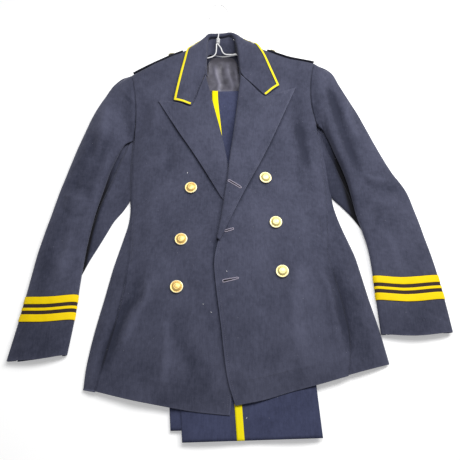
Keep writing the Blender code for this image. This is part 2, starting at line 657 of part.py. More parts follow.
# The edge of the underarm cloth, which lies below the sleeve and shows between it and the coat's side.
LEFT_WEB = ((-0.2135, 0.207), (-0.2132, 0.170), (-0.2125, 0.130), (-0.2098, 0.095), (-0.216, 0.064),
            (-0.233, 0.031), (-0.256, -0.019), (-0.273, -0.053), (-0.283, -0.080), (-0.2985, -0.105),
            (-0.3015, -0.168), (-0.3075, -0.2370))
RIGHT_WEB = ((0.1990, 0.236), (0.2012, 0.205), (0.2078, 0.147), (0.2110, 0.095), (0.228, 0.069),
             (0.246, 0.042), (0.264, 0.010), (0.280, -0.020), (0.2865, -0.050), (0.2885, -0.130),
             (0.2905, -0.2000))
WEB_HEIGHT = 0.0054
WEB_CLOTH = 0.0014

# Columns: share of the way down a sleeve, height of its crown, of its outer fold's middle,
# of its inner fold's middle, and of the inner fold's lower face, which lies on the underarm cloth.
SLEEVE_HEIGHTS = (
    (0.00, 0.0340, 0.0190, 0.0110, 0.0062),
    (0.06, 0.0335, 0.0165, 0.0105, 0.0062),
    (0.15, 0.0315, 0.0120, 0.0100, 0.0062),
    (0.35, 0.0265, 0.0085, 0.0095, 0.0062),
    (0.55, 0.0225, 0.0080, 0.0090, 0.0062),
    (0.72, 0.0195, 0.0078, 0.0085, 0.0062),
    (0.82, 0.0180, 0.0075, 0.0070, 0.0000),
    (1.00, 0.0170, 0.0075, 0.0070, 0.0000),
)
SLEEVE_TURN_RADIUS = 0.006
SLEEVE_TURN_ANGLES = (0.5 * math.pi, 0.85)
SLEEVE_HEAD_SHARE = 0.17
SLEEVE_ROWS = np.concatenate([[0.0, 0.03, 0.07, 0.12], spread(0.18, 1.0, 12)])
SLEEVE_COLUMNS = 12
SLEEVE_SIDE_POWER = 2.4
SLEEVE_CROWN_POWER = 2.2
ARMHOLE_GAP = 0.0007

# How far the top sleeve reaches in under its inner and its outer fold, and the under sleeve's rows, its way in
# from the outer fold, and its gap to the armhole with the place of its head's tip.
INNER_TUCK = 0.011
OUTER_TUCK = 0.015
UNDER_ROWS = 16
UNDER_COLUMNS = 4
UNDER_INSET = 0.0180
UNDER_GAP = 0.0024
UNDER_TIP = (0.0030, -0.022)

# The underarm cloth folds back on itself: the angles of that turn, and how far it reaches under the sleeve.
WEB_ANGLES = (90.0, 30.0, -30.0, -90.0)
WEB_REACH = 0.010
WEB_WIDEST = 0.060


def sleeve_top_grid(inner, outer, armhole, cuff, folds, outward):
    """A top sleeve, from under its inner fold over the crown to under its outer fold."""
    vs = SLEEVE_ROWS
    us = crowded(SLEEVE_COLUMNS, at_start=True, at_end=True)
    plan = patch(shifted(armhole, outward * ARMHOLE_GAP), cuff, inner, outer, us, vs)
    x, y = plan[..., 0], plan[..., 1]
    crown, turn, inner_turn, inner_low = (column(SLEEVE_HEIGHTS, k, vs)[:, None] for k in (1, 2, 3, 4))
    share = us[None, :]
    edge = inner_turn + (turn - inner_turn) * share
    profile = (1.0 - np.abs(2.0 * share - 1.0) ** SLEEVE_SIDE_POWER) ** (1.0 / SLEEVE_CROWN_POWER)
    own = edge + (crown - edge) * profile + folds_height(x, y, folds) * profile
    head = smooth(vs / SLEEVE_HEAD_SHARE)[:, None]
    seam_height = np.maximum(body_height(x, y), edge)
    height = seam_height + (own - seam_height) * head
    grid = with_height(plan, height)
    across = plan[:, -1] - plan[:, 0]
    across /= np.linalg.norm(across, axis=1, keepdims=True)
    before, after = [], []
    for angle in SLEEVE_TURN_ANGLES:
        reach = SLEEVE_TURN_RADIUS * (1.0 - math.cos(angle))
        low = inner_low[:, 0]
        drop = grid[:, 0, 2] - low
        before.append(np.column_stack([plan[:, 0] + across * reach, low + drop * (1.0 - math.sin(angle))]))
        drop = grid[:, -1, 2]
        after.insert(0, np.column_stack([plan[:, -1] - across * reach, drop * (1.0 - math.sin(angle))]))
    tucked = np.column_stack([plan[:, 0] + across * INNER_TUCK, inner_low[:, 0]])
    under = np.column_stack([plan[:, -1] - across * OUTER_TUCK, np.zeros(len(vs))])
    columns = [tucked] + before + [grid[:, j] for j in range(len(us))] + after + [under]
    return np.stack(columns, axis=1)


def sleeve_under_grid(web, inner, outer, armhole, cuff, outward):
    """An under sleeve: flat on the table, and folded back on itself at the underarm's edge."""
    vs = spread(0.0, 1.0, UNDER_ROWS)
    inset = shifted(outer[2:-1], -outward * UNDER_INSET)
    head = shifted(armhole[-1:], outward * UNDER_TIP[0], UNDER_TIP[1])
    end = head + inset + shifted(cuff[-1:], -outward * UNDER_INSET)
    edge = tuple(web)
    top = (edge[0],) + shifted(armhole[2:-1], outward * UNDER_GAP) + head
    low = (edge[-1], (0.5 * (edge[-1][0] + end[-1][0]), 0.5 * (edge[-1][1] + end[-1][1]) - 0.001), end[-1])
    plan = patch(top, low, edge, end, spread(0.0, 1.0, UNDER_COLUMNS), vs)
    across = plan[:, -1] - plan[:, 0]
    across /= np.linalg.norm(across, axis=1, keepdims=True)
    fold = curve(inner, vs)
    reach = np.clip(np.abs(fold[:, 0] - plan[:, 0, 0]), 0.0, WEB_WIDEST) + WEB_REACH
    radius = 0.5 * WEB_HEIGHT
    start = plan[:, 0]
    columns = []
    for share in (1.0, 0.5):
        columns.append(np.column_stack([start + across * (reach[:, None] * share), np.full(len(vs), WEB_HEIGHT)]))
    for angle in WEB_ANGLES:
        turn = math.radians(angle)
        place = start + across * radius * (1.0 - math.cos(turn))
        columns.append(np.column_stack([place, np.full(len(vs), radius * (1.0 + math.sin(turn)))]))
    for j in range(1, plan.shape[1]):
        columns.append(np.column_stack([plan[:, j], np.zeros(len(vs))]))
    return np.stack(columns, axis=1)


def sleeves():
    """Both sleeves, each of a top and an under piece."""
    left = sleeve_top_grid(LEFT_INNER, LEFT_OUTER, LEFT_ARMHOLE, LEFT_CUFF, LEFT_SLEEVE_FOLDS, -1.0)
    right = sleeve_top_grid(RIGHT_INNER, RIGHT_OUTER, RIGHT_ARMHOLE, RIGHT_CUFF, RIGHT_SLEEVE_FOLDS, 1.0)
    cloth("sleeve_top_left", left, SLEEVE_CLOTH, COAT)
    cloth("sleeve_top_right", right, SLEEVE_CLOTH, COAT)
    under = sleeve_under_grid(LEFT_WEB, LEFT_INNER, LEFT_OUTER, LEFT_ARMHOLE, LEFT_CUFF, -1.0)
    cloth("sleeve_under_left", under, WEB_CLOTH, COAT)
    under = sleeve_under_grid(RIGHT_WEB, RIGHT_INNER, RIGHT_OUTER, RIGHT_ARMHOLE, RIGHT_CUFF, 1.0)
    cloth("sleeve_under_right", under, WEB_CLOTH, COAT)
    cuff_braids("left", left, LEFT_BRAID_RISE)
    cuff_braids("right", right, RIGHT_BRAID_RISE)


# Columns: distance from the cuff's hem to a braid, its width. The braids rise a little more than the hem does:
# how much higher they lie on each sleeve's inner side and on its outer side.
CUFF_BRAIDS = ((0.0952, WIDE_BRAID), (0.0828, NARROW_BRAID), (0.0620, WIDE_BRAID))
LEFT_BRAID_RISE = (0.0015, 0.0105)
RIGHT_BRAID_RISE = (0.0025, 0.0005)
BRAID_LOWEST = 0.0025

# How far in from the collar's edge its braid starts, as a share of a row, and how far it lies over the cloth.
BRAID_INSET = 0.06
BRAID_LIFT = 0.0009


def from_the_cuff(grid, distances):
    """Fractional row numbers at each column's distance up from the cuff's hem."""
    steps = np.linalg.norm(np.diff(grid[::-1], axis=0), axis=2)
    run = np.concatenate([np.zeros((1, grid.shape[1])), np.cumsum(steps, axis=0)])
    numbers = np.arange(grid.shape[0])[::-1]
    return np.array([np.interp(distances[j], run[:, j], numbers) for j in range(grid.shape[1])])


def cuff_braids(side, sleeve, rise):
    """Three rows of braid round the cuff, laid on the top sleeve."""
    shown = [j for j in range(2, sleeve.shape[1] - 1) if sleeve[-1, j, 2] > BRAID_LOWEST]
    columns = np.array(shown, dtype=float)
    lift = np.interp(np.arange(sleeve.shape[1]), (shown[0], shown[-1]), rise)
    for number, (start, width) in enumerate(CUFF_BRAIDS, 1):
        rows = np.stack([from_the_cuff(sleeve, start + lift + width * (1.0 - t))[shown]
                         for t in spread(0.0, 1.0, 3)])
        band = laid_on(sleeve, rows, np.broadcast_to(columns, rows.shape))
        cloth(f"cuff_braid_{side}_{number}", band, BRAID_CLOTH, YELLOW, outward=True)


def collar_braids(leaf):
    """Braid along each end of the collar's leaf and its outer edge as far as the back."""
    last = leaf.shape[0] - 1
    numbers = np.arange(last + 1)
    share = 2.0 * COLLAR_BRAID / np.linalg.norm(leaf[:, 2] - leaf[:, 0], axis=1)
    for side, first, towards in (("left", 0, 1), ("right", last, -1)):
        step = np.linalg.norm(leaf[first + towards, 2] - leaf[first, 2])
        along = first + towards * np.arange(1, last // 2 + 1)
        rows, columns = [], []
        for inset in (0.0, 0.5, 1.0):
            near = first + towards * (BRAID_INSET + inset * COLLAR_BRAID / step)
            corner = BRAID_INSET + inset * np.interp(near, numbers, share)
            rows.append([near] * 6 + along.tolist())
            columns.append([5.0, 4.0, 3.0, 2.0, 1.0, corner] + (BRAID_INSET + inset * share[along]).tolist())
        band = laid_on(leaf, np.array(rows, dtype=float), np.array(columns), BRAID_LIFT)
        cloth(f"collar_braid_{side}", band, BRAID_CLOTH, YELLOW, outward=True)


# The neck lining's edges, and its height where it is low and under the stand.
LINING_TOP = ((-0.0480, 0.3990), (-0.0425, 0.4260), (-0.0365, 0.4335), (-0.0270, 0.4372), (-0.0140, 0.4382),
              (-0.0010, 0.4372), (0.0070, 0.4335), (0.0125, 0.4260), (0.0180, 0.3990))
LINING_FOOT = ((-0.110, 0.318), (-0.014, 0.316), (0.085, 0.318))
LINING_LEFT = ((-0.110, 0.318), (-0.092, 0.360), (-0.0480, 0.3990))
LINING_RIGHT = ((0.085, 0.318), (0.062, 0.360), (0.0180, 0.3990))
LINING_LOW = 0.0034
LINING_HIGH = 0.0118
LINING_ROWS = 9
LINING_COLUMNS = 11


def lining():
    """The lining that shows at the back of the neck, from the stand's foot down under the trousers."""
    rows, columns = spread(0.0, 1.0, LINING_ROWS), spread(0.0, 1.0, LINING_COLUMNS)
    plan = patch(LINING_FOOT, LINING_TOP, LINING_LEFT, LINING_RIGHT, columns, rows)
    share = rows[:, None] * np.ones(LINING_COLUMNS)
    height = LINING_LOW + (LINING_HIGH - LINING_LOW) * smooth((share - 0.25) / 0.75) ** 1.5
    cloth("back_neck_lining", with_height(plan, height), LINING_CLOTH, LINING)


# The front buttons' places.
LEFT_BUTTONS = ((-0.079, 0.091), (-0.095, -0.020), (-0.100, -0.115))
RIGHT_BUTTONS = ((0.072, 0.113), (0.090, 0.015), (0.099, -0.085))

# Columns: share of the radius, height over the button's back.
BUTTON_PROFILE = ((0.0, 0.0072), (0.25, 0.0069), (0.5, 0.0060), (0.72, 0.0044), (0.84, 0.0030),
                  (0.90, 0.0034), (0.97, 0.0030), (1.0, 0.0020), (0.96, 0.0008), (0.80, 0.0), (0.0, 0.0))
BUTTON_STEPS = 16


def button(name, x, y, z, tilt, radius):
    """A domed metal button with a raised rim, turned from its profile."""
    scale = radius / BUTTON_RADIUS
    mesh = bpy.data.meshes.new(name)
    points = [(share * radius, 0.0, height * scale) for share, height in BUTTON_PROFILE]
    mesh.from_pydata(points, [(k, k + 1) for k in range(len(points) - 1)], [])
    thing = add_object(name, mesh, fabric(name, GILT, 0.25, 1.0))
    turn = thing.modifiers.new("turn", "SCREW")
    turn.steps = BUTTON_STEPS
    turn.render_steps = BUTTON_STEPS
    turn.use_merge_vertices = True
    turn.merge_threshold = 0.00001
    thing.location = (x, y, z)
    thing.rotation_euler = tilt
    return thing


def seat(grid, x, y, radius):
    """Height and slopes of the plane that rests on a panel's highest place under a button."""
    rows = np.repeat(spread(0.0, grid.shape[0] - 1.001, 6 * grid.shape[0])[:, None], 8 * grid.shape[1], axis=1)
    columns = np.repeat(spread(0.0, grid.shape[1] - 1.001, 8 * grid.shape[1])[None], rows.shape[0], axis=0)
    points = sample(grid, rows, columns).reshape(-1, 3)
    under = points[np.hypot(points[:, 0] - x, points[:, 1] - y) < radius]
    matrix = np.column_stack([under[:, 0] - x, under[:, 1] - y, np.ones(len(under))])
    slope_x, slope_y, z = np.linalg.lstsq(matrix, under[:, 2], rcond=None)[0]
    highest = np.max(under[:, 2] - matrix @ np.array((slope_x, slope_y, z)))
    return z + highest, slope_x, slope_y


def front_buttons():
    """Three gilt buttons down each front."""
    for side, places, panel in (("left", LEFT_BUTTONS, front_left_grid()),
                                ("right", RIGHT_BUTTONS, front_right_grid())):
        for number, (x, y) in enumerate(places, 1):
            z, slope_x, slope_y = seat(panel, x, y, BUTTON_RADIUS)
            tilt = (math.atan(slope_y), -math.atan(slope_x), 0.0)
            button(f"button_{side}_{number}", x, y, z + SEAM, tilt, BUTTON_RADIUS)


# The shoulder straps. Columns: distance in from the shoulder's turn, lift over the front, and where the strap
# has passed the turn, its height over the table instead.
STRAP_SECTION = ((0.0110, 0.0020, 0.0), (0.0060, 0.0005, 0.0), (0.0012, 0.0004, 0.0), (-0.0022, 0.0, 0.0225),
                 (-0.0040, 0.0, 0.0160), (-0.0044, 0.0, 0.0080))
# The straps' lines along the shoulder, from the sleeve to the collar: x, y and share of the full width in front.
LEFT_STRAP = ((-0.2170, 0.3845, 0.40), (-0.1800, 0.4070, 0.65), (-0.1350, 0.4345, 0.95), (-0.1080, 0.4480, 1.0))
RIGHT_STRAP = ((0.1900, 0.4148, 0.55), (0.1600, 0.4225, 0.90), (0.1320, 0.4305, 1.0), (0.0850, 0.4490, 0.65))
STRAP_ROWS = 8

# The strap's button: its place by the strap's own rows and columns, and how far it stands off the cloth.
STRAP_BUTTON_ROW = 6.2
STRAP_BUTTON_COLUMN = 3.5
STRAP_BUTTON_LIFT = 0.0013


def strap_grid(places):
    """The inner face of a shoulder strap, which lies over the shoulder's turn to its back."""
    line = curve(places, spread(0.0, 1.0, STRAP_ROWS))
    rows = []
    for x, y, share in line:
        row = []
        for distance, lift, height in STRAP_SECTION:
            place_y = y - max(distance, 0.0) * share - min(distance, 0.0)
            row.append((x, place_y, height or float(body_height(np.array(x), np.array(place_y))) + lift))
        rows.append(row)
    return np.array(rows)


def strap(side, places):
    """A shoulder strap and the small button near its collar end."""
    grid = strap_grid(places)
    cloth(f"shoulder_strap_{side}", grid, STRAP_CLOTH, COAT, outward=True)
    row = np.array([STRAP_BUTTON_ROW])
    across = np.array([STRAP_BUTTON_COLUMN])
    place = laid_on(grid, row, across, STRAP_CLOTH + STRAP_BUTTON_LIFT)[0]
    face = sample(normals(grid), row, across)[0]
    tilt = (-math.atan2(face[1], face[2]), math.atan2(face[0], face[2]), 0.0)
    button(f"strap_button_{side}", *place, tilt, STRAP_BUTTON_RADIUS)


def straps():
    """A strap on each shoulder."""
    strap("left", LEFT_STRAP)
    strap("right", RIGHT_STRAP)


# The trousers hang folded over the hanger's bar.
BAR_Y, BAR_HEIGHT = 0.334, 0.0122
LEG_THICKNESS = 0.0033
UPPER_LEG_TURN = 0.0070
LOWER_LEG_TURN = 0.00335
FOLD_END_Y = 0.311
WAIST_START_Y, WAIST_END_Y = 0.3095, -0.0350

# Columns: y, left edge x, right edge x, height of the leg's middle.
UPPER_LEG = (
    (-0.3835, -0.0810, 0.1580, 0.0079),
    (-0.3000, -0.0890, 0.1525, 0.0085),
    (-0.2000, -0.0985, 0.1460, 0.0120),
    (-0.1100, -0.1070, 0.1400, 0.0162),
    (-0.0300, -0.1150, 0.1350, 0.0192),
    (0.1000, -0.1270, 0.1260, 0.0192),
    (0.2200, -0.1390, 0.1180, 0.0192),
    (0.3340, -0.1500, 0.1100, 0.0192),
)
LOWER_LEG = (
    (-0.3650, -0.1020, 0.1370, 0.0043),
    (-0.3000, -0.1080, 0.1330, 0.0048),
    (-0.2000, -0.1170, 0.1270, 0.0084),
    (-0.1100, -0.1250, 0.1220, 0.0126),
    (-0.0300, -0.1320, 0.1180, 0.01555),
    (0.1000, -0.1420, 0.1120, 0.01555),
    (0.2200, -0.1510, 0.1060, 0.01555),
    (0.3340, -0.1580, 0.1020, 0.01555),
)
LEG_HEM_SLOPE = 0.030
BAR_TURN_ANGLES = (30.0, 60.0, 90.0, 120.0, 150.0, 180.0)

# How cloth that is folded flat rounds at its edge. Columns: way in from the edge, share of half the thickness.
LEG_EDGE = ((0.0, 0.0), (0.0006, 0.75), (0.0030, 1.0))
WAIST_EDGE = ((0.0, 0.0), (0.001, 0.7), (0.004, 1.0))

# The waist half. Columns: y, left edge x, right edge x.
WAIST = (
    (WAIST_END_Y, -0.163, 0.138),
    (0.060, -0.166, 0.130),
    (0.180, -0.160, 0.118),
    (WAIST_START_Y, -0.152, 0.106),
)

# Where the side stripe lies: row of the leg, share of the way from its left edge to its right one.
STRIPE_PLACE = ((0, 0.413), (4, 0.432), (6, 0.447), (15, 0.447))
WAIST_LOW = 0.0042


def folded_section(left, right, edge, with_middle):
    """A flat folded section: places round it, each with its share of half the thickness."""
    upper = [(left + inset, rise) for inset, rise in edge]
    if with_middle:
        upper.append((0.5 * (left + right), 1.0))
    upper += [(right - inset, rise) for inset, rise in reversed(edge)]
    return upper + [(x, -rise) for x, rise in upper[-2:0:-1]]


def leg_grid(table, turn_radius):
    """A leg pressed flat, open at its hem, that goes up to the bar and round it."""
    rows = []
    half = 0.5 * LEG_THICKNESS
    path = [(y, left, right, z, 0.0) for y, left, right, z in table]
    left, right = table[-1][1], table[-1][2]
    for angle in BAR_TURN_ANGLES:
        a = math.radians(angle)
        path.append((BAR_Y + turn_radius * math.sin(a), left, right, BAR_HEIGHT + turn_radius * math.cos(a), a))
    path.append((FOLD_END_Y, left, right, BAR_HEIGHT - turn_radius, math.pi))
    for y, left, right, z, angle in path:
        slant = LEG_HEM_SLOPE * smooth(-y / 0.3)
        ring = []
        for x, rise in folded_section(left, right, LEG_EDGE, True):
            off = rise * half
            ring.append((x, y + off * math.sin(angle) + slant * (x - left), z + off * math.cos(angle)))
        rows.append(ring)
    return np.array(rows)


def stripe_grid(leg, place):
    """The side stripe, laid on a leg's upper face: a share of the width on each row."""
    columns = np.array([2.0, 2.5, 3.0])
    face = normals(leg[:, 2:5])
    rows = []
    for i, share in zip(range(leg.shape[0] - 1), place):
        left, right = leg[i, 2], leg[i, 4]
        middle = left + share * (right - left)
        across = (right - left) / np.linalg.norm(right - left)
        rows.append([middle + across * d + face[i, 1] * SEAM for d in (-0.5 * STRIPE_WIDTH, 0.0, 0.5 * STRIPE_WIDTH)])
    return np.array(rows)


def trousers():
    """Both legs over the bar, the side stripe, and the waist half folded under them."""
    upper = leg_grid(UPPER_LEG, UPPER_LEG_TURN)
    lower = leg_grid(LOWER_LEG, LOWER_LEG_TURN)
    cloth("trouser_leg_upper", upper, TROUSER_CLOTH, TROUSERS, ring=True)
    cloth("trouser_leg_lower", lower, TROUSER_CLOTH, TROUSERS, ring=True)
    stripe = stripe_grid(upper, column(STRIPE_PLACE, 1, np.arange(upper.shape[0])))
    cloth("trouser_stripe", stripe[:-2], BRAID_CLOTH, YELLOW, outward=True)
    waist_half()


def waist_half():
    """The trousers' upper half, folded under the legs: its layers are one rounded solid."""
    low, high = WAIST_LOW, BAR_HEIGHT + LOWER_LEG_TURN - 0.5 * LEG_THICKNESS - 2.0 * SEAM
    middle, half = 0.5 * (low + high), 0.5 * (high - low)
    rows = [[(x, y, middle + rise * half) for x, rise in folded_section(left, right, WAIST_EDGE, False)]
            for y, left, right in WAIST]
    grid = np.array(rows)
    mesh = grid_mesh("trouser_waist_half", grid, ring=True)
    count = grid.shape[1]
    builder = bmesh.new()
    builder.from_mesh(mesh)
    builder.verts.ensure_lookup_table()
    builder.faces.new([builder.verts[k] for k in range(count)])
    builder.faces.new([builder.verts[k] for k in range((len(rows) - 1) * count, len(rows) * count)])
    bmesh.ops.recalc_face_normals(builder, faces=builder.faces)
    builder.to_mesh(mesh)
    builder.free()
    add_object("trouser_waist_half", mesh, fabric("trouser_waist_half", TROUSERS, 0.85))


# The hanger's wire: its neck, where the arms meet, and how it climbs over the back and the stand.
NECK = (-0.0282, 0.4650)
STEM_LEAN = 0.085
CLIMB_Y = 0.4390
ARMS_LIFT = 0.090
STEM_LIFT = 0.370
TWIST_RADIUS = 0.0032
TWIST_PITCH = 0.0036
TWIST_TURNS = 3
TWIST_STEPS = 10
HOOK_RADIUS = 0.022
HOOK_MIDDLE = (-0.0268, 0.5300)
HOOK_ANGLES = range(210, -61, -18)
STEM = (0.498, 0.484, NECK[1])

# The wire's places, x and y: from the stem out along the right arm and round its end to the bar, along the bar,
# and from the bar's left end back along the left arm to the twist.
RIGHT_ARM = ((-0.0240, 0.4600), (-0.0203, 0.4545), (-0.0178, 0.4475), (-0.0125, 0.4425), (0.0010, 0.4412),
             (0.0189, 0.4402), (0.0320, 0.4335), (0.0600, 0.4190), (0.110, 0.3930), (0.150, 0.3680), (0.1600, 0.3560),
             (0.1610, 0.3450), (0.1530, 0.3360), (0.140, BAR_Y))
BAR = ((0.060, BAR_Y), (-0.030, BAR_Y), (-0.110, BAR_Y), (-0.185, BAR_Y))
LEFT_ARM = ((-0.1990, 0.3345), (-0.2070, 0.3420), (-0.2060, 0.3530), (-0.1970, 0.3620),
            (-0.150, 0.3860), (-0.100, 0.4100), (-0.0567, 0.4310), (-0.0465, 0.4340), (-0.0378, 0.4378),
            (-0.0328, 0.4440), (-0.0316, 0.4530), (-0.0312, 0.4610))


def stem_x(y):
    """The stem leans a little as it goes up."""
    return NECK[0] + STEM_LEAN * (y - NECK[1])


def wire_height(y):
    """The arms climb gently from the bar, and the stem more steeply over the collar's stand."""
    return BAR_HEIGHT + ARMS_LIFT * (y - BAR_Y) + (STEM_LIFT - ARMS_LIFT) * max(y - CLIMB_Y, 0.0)


def hanger():
    """One bent wire: hook, stem, right arm, bar, left arm and the end twisted round the stem."""
    turns = [math.radians(angle) for angle in HOOK_ANGLES]
    hook = [(HOOK_MIDDLE[0] + HOOK_RADIUS * math.cos(a), HOOK_MIDDLE[1] + HOOK_RADIUS * math.sin(a)) for a in turns]
    stem = [(stem_x(y), y) for y in STEM]
    points = [(x, y, wire_height(y)) for x, y in (*hook, *stem, *RIGHT_ARM, *BAR, *LEFT_ARM)]
    for k in range(TWIST_TURNS * TWIST_STEPS + 1):
        turn = 2.0 * math.pi * k / TWIST_STEPS
        y = NECK[1] + TWIST_PITCH * k / TWIST_STEPS
        points.append((stem_x(y) - TWIST_RADIUS * math.cos(turn), y,
                       wire_height(y) - TWIST_RADIUS * math.sin(turn)))
    line = bpy.data.curves.new("hanger_wire", "CURVE")
    line.dimensions = "3D"
    spline = line.splines.new("POLY")
    spline.points.add(len(points) - 1)
    for point, place in zip(spline.points, points):
        point.co = (*place, 1.0)
    line.bevel_depth = WIRE_RADIUS
    line.bevel_resolution = 1
    line.use_fill_caps = True
    thing = bpy.data.objects.new("hanger_wire", line)
    line.materials.append(fabric("hanger_wire", WHITE, 0.35))
    PIECES.objects.link(thing)
    thing.parent = MIDDLE


PIECES = None
MIDDLE = None


def main():
    """Builds the whole garment."""
    global PIECES, MIDDLE
    empty_the_scene()
    PIECES = new_collection("dress_uniform")
    MIDDLE = bpy.data.objects.new("middle", None)
    PIECES.objects.link(MIDDLE)
    MIDDLE.location = (-BOX_MIDDLE[0], -BOX_MIDDLE[1], 0.0)
    coat_body()
    lapels()
    collar()
    collar_braids(collar_grid())
    lining()
    sleeves()
    front_buttons()
    straps()
    trousers()
    hanger()


main()
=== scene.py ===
"""Looks of the dress uniform: wool, seams, stitching, braid, buttons, lining, trousers and wire hanger."""
import math

import bmesh
import bpy
import numpy as np
from mathutils import Matrix, Vector, noise
from mathutils.bvhtree import BVHTree


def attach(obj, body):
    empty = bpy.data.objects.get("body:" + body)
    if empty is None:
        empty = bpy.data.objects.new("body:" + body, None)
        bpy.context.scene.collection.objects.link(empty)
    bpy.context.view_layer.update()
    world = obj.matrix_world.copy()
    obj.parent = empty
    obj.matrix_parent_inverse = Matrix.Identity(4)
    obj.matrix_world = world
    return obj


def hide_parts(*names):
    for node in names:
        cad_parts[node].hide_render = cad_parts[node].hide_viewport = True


# Cloth thicknesses and the gap that a seam leaves between two pieces.
COAT_CLOTH = 0.002
SLEEVE_CLOTH = 0.0018
LAPEL_CLOTH = 0.0024
LINING_CLOTH = 0.001
TROUSER_CLOTH = 0.0012
BRAID_CLOTH = 0.0009
STRAP_CLOTH = 0.003
SEAM = 0.0003

# Heights over the table at the side folds, the shoulder's turn and the sleeve's folds.
SIDE_TURN_HEIGHT = 0.0045
SHOULDER_TURN_HEIGHT = 0.019
SIDE_ROUND = 0.125
SIDE_POWER = 1.6
SHOULDER_ROUND = 0.026
SHOULDER_POWER = 2.2

# How far the left front lies over the right one: the cloth alone, the lapel under it as well, and the lines
# between which each begins and ends.
OVER_CLOTH = 0.0034
OVER_LAPEL = 0.004
OVER_LAPEL_FROM, OVER_LAPEL_RUN = -0.02, 0.05
OVER_UP_TO_Y, OVER_Y_RUN = 0.33, 0.17
OVER_UP_TO_X, OVER_X_RUN = 0.085, 0.05

# The middle of the garment's box in the drawing's x and y, which goes to the origin.
BOX_MIDDLE = (0.004, 0.08481)

# Trouser, braid, button and wire sizes.
STRIPE_WIDTH = 0.013
WIDE_BRAID = 0.0138
NARROW_BRAID = 0.0054
COLLAR_BRAID = 0.0044
BUTTON_RADIUS = 0.0125
STRAP_BUTTON_RADIUS = 0.0075
WIRE_RADIUS = 0.0014

# Columns: y, x of the left limit of the cloth's upper layer, x of the right limit.
# Up to the underarms these are the side folds, and above them the sleeve heads' outer folds.
SIDE_FOLDS = ((-0.341, -0.26, 0.296), (-0.297, -0.259, 0.292), (-0.254, -0.2575, 0.287),
    (-0.193, -0.249, 0.276), (-0.136, -0.238, 0.263), (-0.071, -0.226, 0.25), (-0.042, -0.219, 0.243),
    (0.018, -0.2045, 0.222), (0.056, -0.203, 0.212), (0.092, -0.208, 0.209), (0.147, -0.2115, 0.206),
    (0.216, -0.211, 0.1985), (0.262, -0.25, 0.22), (0.3, -0.29, 0.28), (0.48, -0.3, 0.3))

# Columns: x, y of the line where the shoulders turn down to the back.
SHOULDER_TURN = ((-0.3, 0.33), (-0.222, 0.381), (-0.135, 0.434), (-0.098, 0.452), (-0.06, 0.462),
    (0.03, 0.468), (0.06, 0.463), (0.079, 0.452), (0.132, 0.43), (0.192, 0.414), (0.3, 0.35))

# Columns: distance down from the shoulder's turn, height of the cloth in the middle.
CROWN = ((0.0, 0.038), (0.1, 0.035), (0.25, 0.031), (0.42, 0.027), (0.62, 0.0205), (0.78, 0.0138),
    (0.9, 0.0135))


def smooth(value):
    """A soft step from 0 to 1."""
    t = np.clip(value, 0.0, 1.0)
    return t * t * (3.0 - 2.0 * t)


def rounded(value, power):
    """A quarter round from 0 to 1, upright at 0 and level at 1."""
    t = np.clip(value, 0.0, 1.0)
    return (1.0 - (1.0 - t) ** power) ** (1.0 / power)


def column(table, index, at):
    """Reads one column of a table at a value of its first column."""
    rows = np.array(table)
    return np.interp(at, rows[:, 0], rows[:, index])


def curve(points, fractions):
    """Places on a smooth line through the points, at fractions of its length."""
    p = np.array(points, dtype=float)
    ends = np.vstack([2 * p[0] - p[1], p, 2 * p[-1] - p[-2]])
    t = np.linspace(0.0, 1.0, 13)[:-1, None]
    pieces = []
    for a, b, c, d in zip(ends, ends[1:], ends[2:], ends[3:]):
        pieces.append(0.5 * (2 * b + (c - a) * t + (2 * a - 5 * b + 4 * c - d) * t**2
                             + (3 * b - 3 * c + d - a) * t**3))
    dense = np.vstack(pieces + [p[-1:]])
    run = np.concatenate([[0.0], np.cumsum(np.linalg.norm(np.diff(dense, axis=0), axis=1))])
    at = np.asarray(fractions) * run[-1]
    return np.column_stack([np.interp(at, run, dense[:, k]) for k in range(p.shape[1])])


def patch(first, last, start, end, us, vs):
    """A sheet stretched between four lines: first and last at v 0 and 1, start and end at u 0 and 1."""
    u = np.asarray(us)[None, :, None]
    v = np.asarray(vs)[:, None, None]
    low, high = curve(first, us)[None], curve(last, us)[None]
    left, right = curve(start, vs)[:, None], curve(end, vs)[:, None]
    corners = ((1 - u) * (1 - v) * low[:, :1] + u * (1 - v) * low[:, -1:]
               + (1 - u) * v * high[:, :1] + u * v * high[:, -1:])
    return (1 - v) * low + v * high + (1 - u) * left + u * right - corners


def body_height(x, y):
    """Height of the coat's fronts over the table."""
    turn = column(SHOULDER_TURN, 1, x)
    crown = column(CROWN, 1, turn - y)
    across = np.minimum(x - column(SIDE_FOLDS, 1, y), column(SIDE_FOLDS, 2, y) - x)
    z = SIDE_TURN_HEIGHT + (crown - SIDE_TURN_HEIGHT) * rounded(across / SIDE_ROUND, SIDE_POWER)
    top = np.minimum(SHOULDER_TURN_HEIGHT, z)
    return top + (z - top) * rounded((turn - y) / SHOULDER_ROUND, SHOULDER_POWER)


def over_height(x, y):
    """How far the left front lies over the right one, which it covers past the middle."""
    lapel_below = smooth((y - OVER_LAPEL_FROM) / OVER_LAPEL_RUN)
    apart = smooth((OVER_UP_TO_Y - y) / OVER_Y_RUN)
    covered = smooth((OVER_UP_TO_X - x) / OVER_X_RUN)
    return (OVER_CLOTH + OVER_LAPEL * lapel_below) * apart * covered


FOLD_FADE = 0.25


def folds_height(x, y, folds):
    """Soft ridges and troughs, each a straight line from one place to another, dying out at both ends."""
    z = np.zeros_like(x)
    for x0, y0, x1, y1, half_width, height in folds:
        length = math.hypot(x1 - x0, y1 - y0)
        along = ((x - x0) * (x1 - x0) + (y - y0) * (y1 - y0)) / length**2
        off = ((x - x0) * (y1 - y0) - (y - y0) * (x1 - x0)) / length
        fade = smooth(along / FOLD_FADE) * smooth((1.0 - along) / FOLD_FADE)
        z = z + height * fade * np.exp(-(off / half_width) ** 2)
    return z


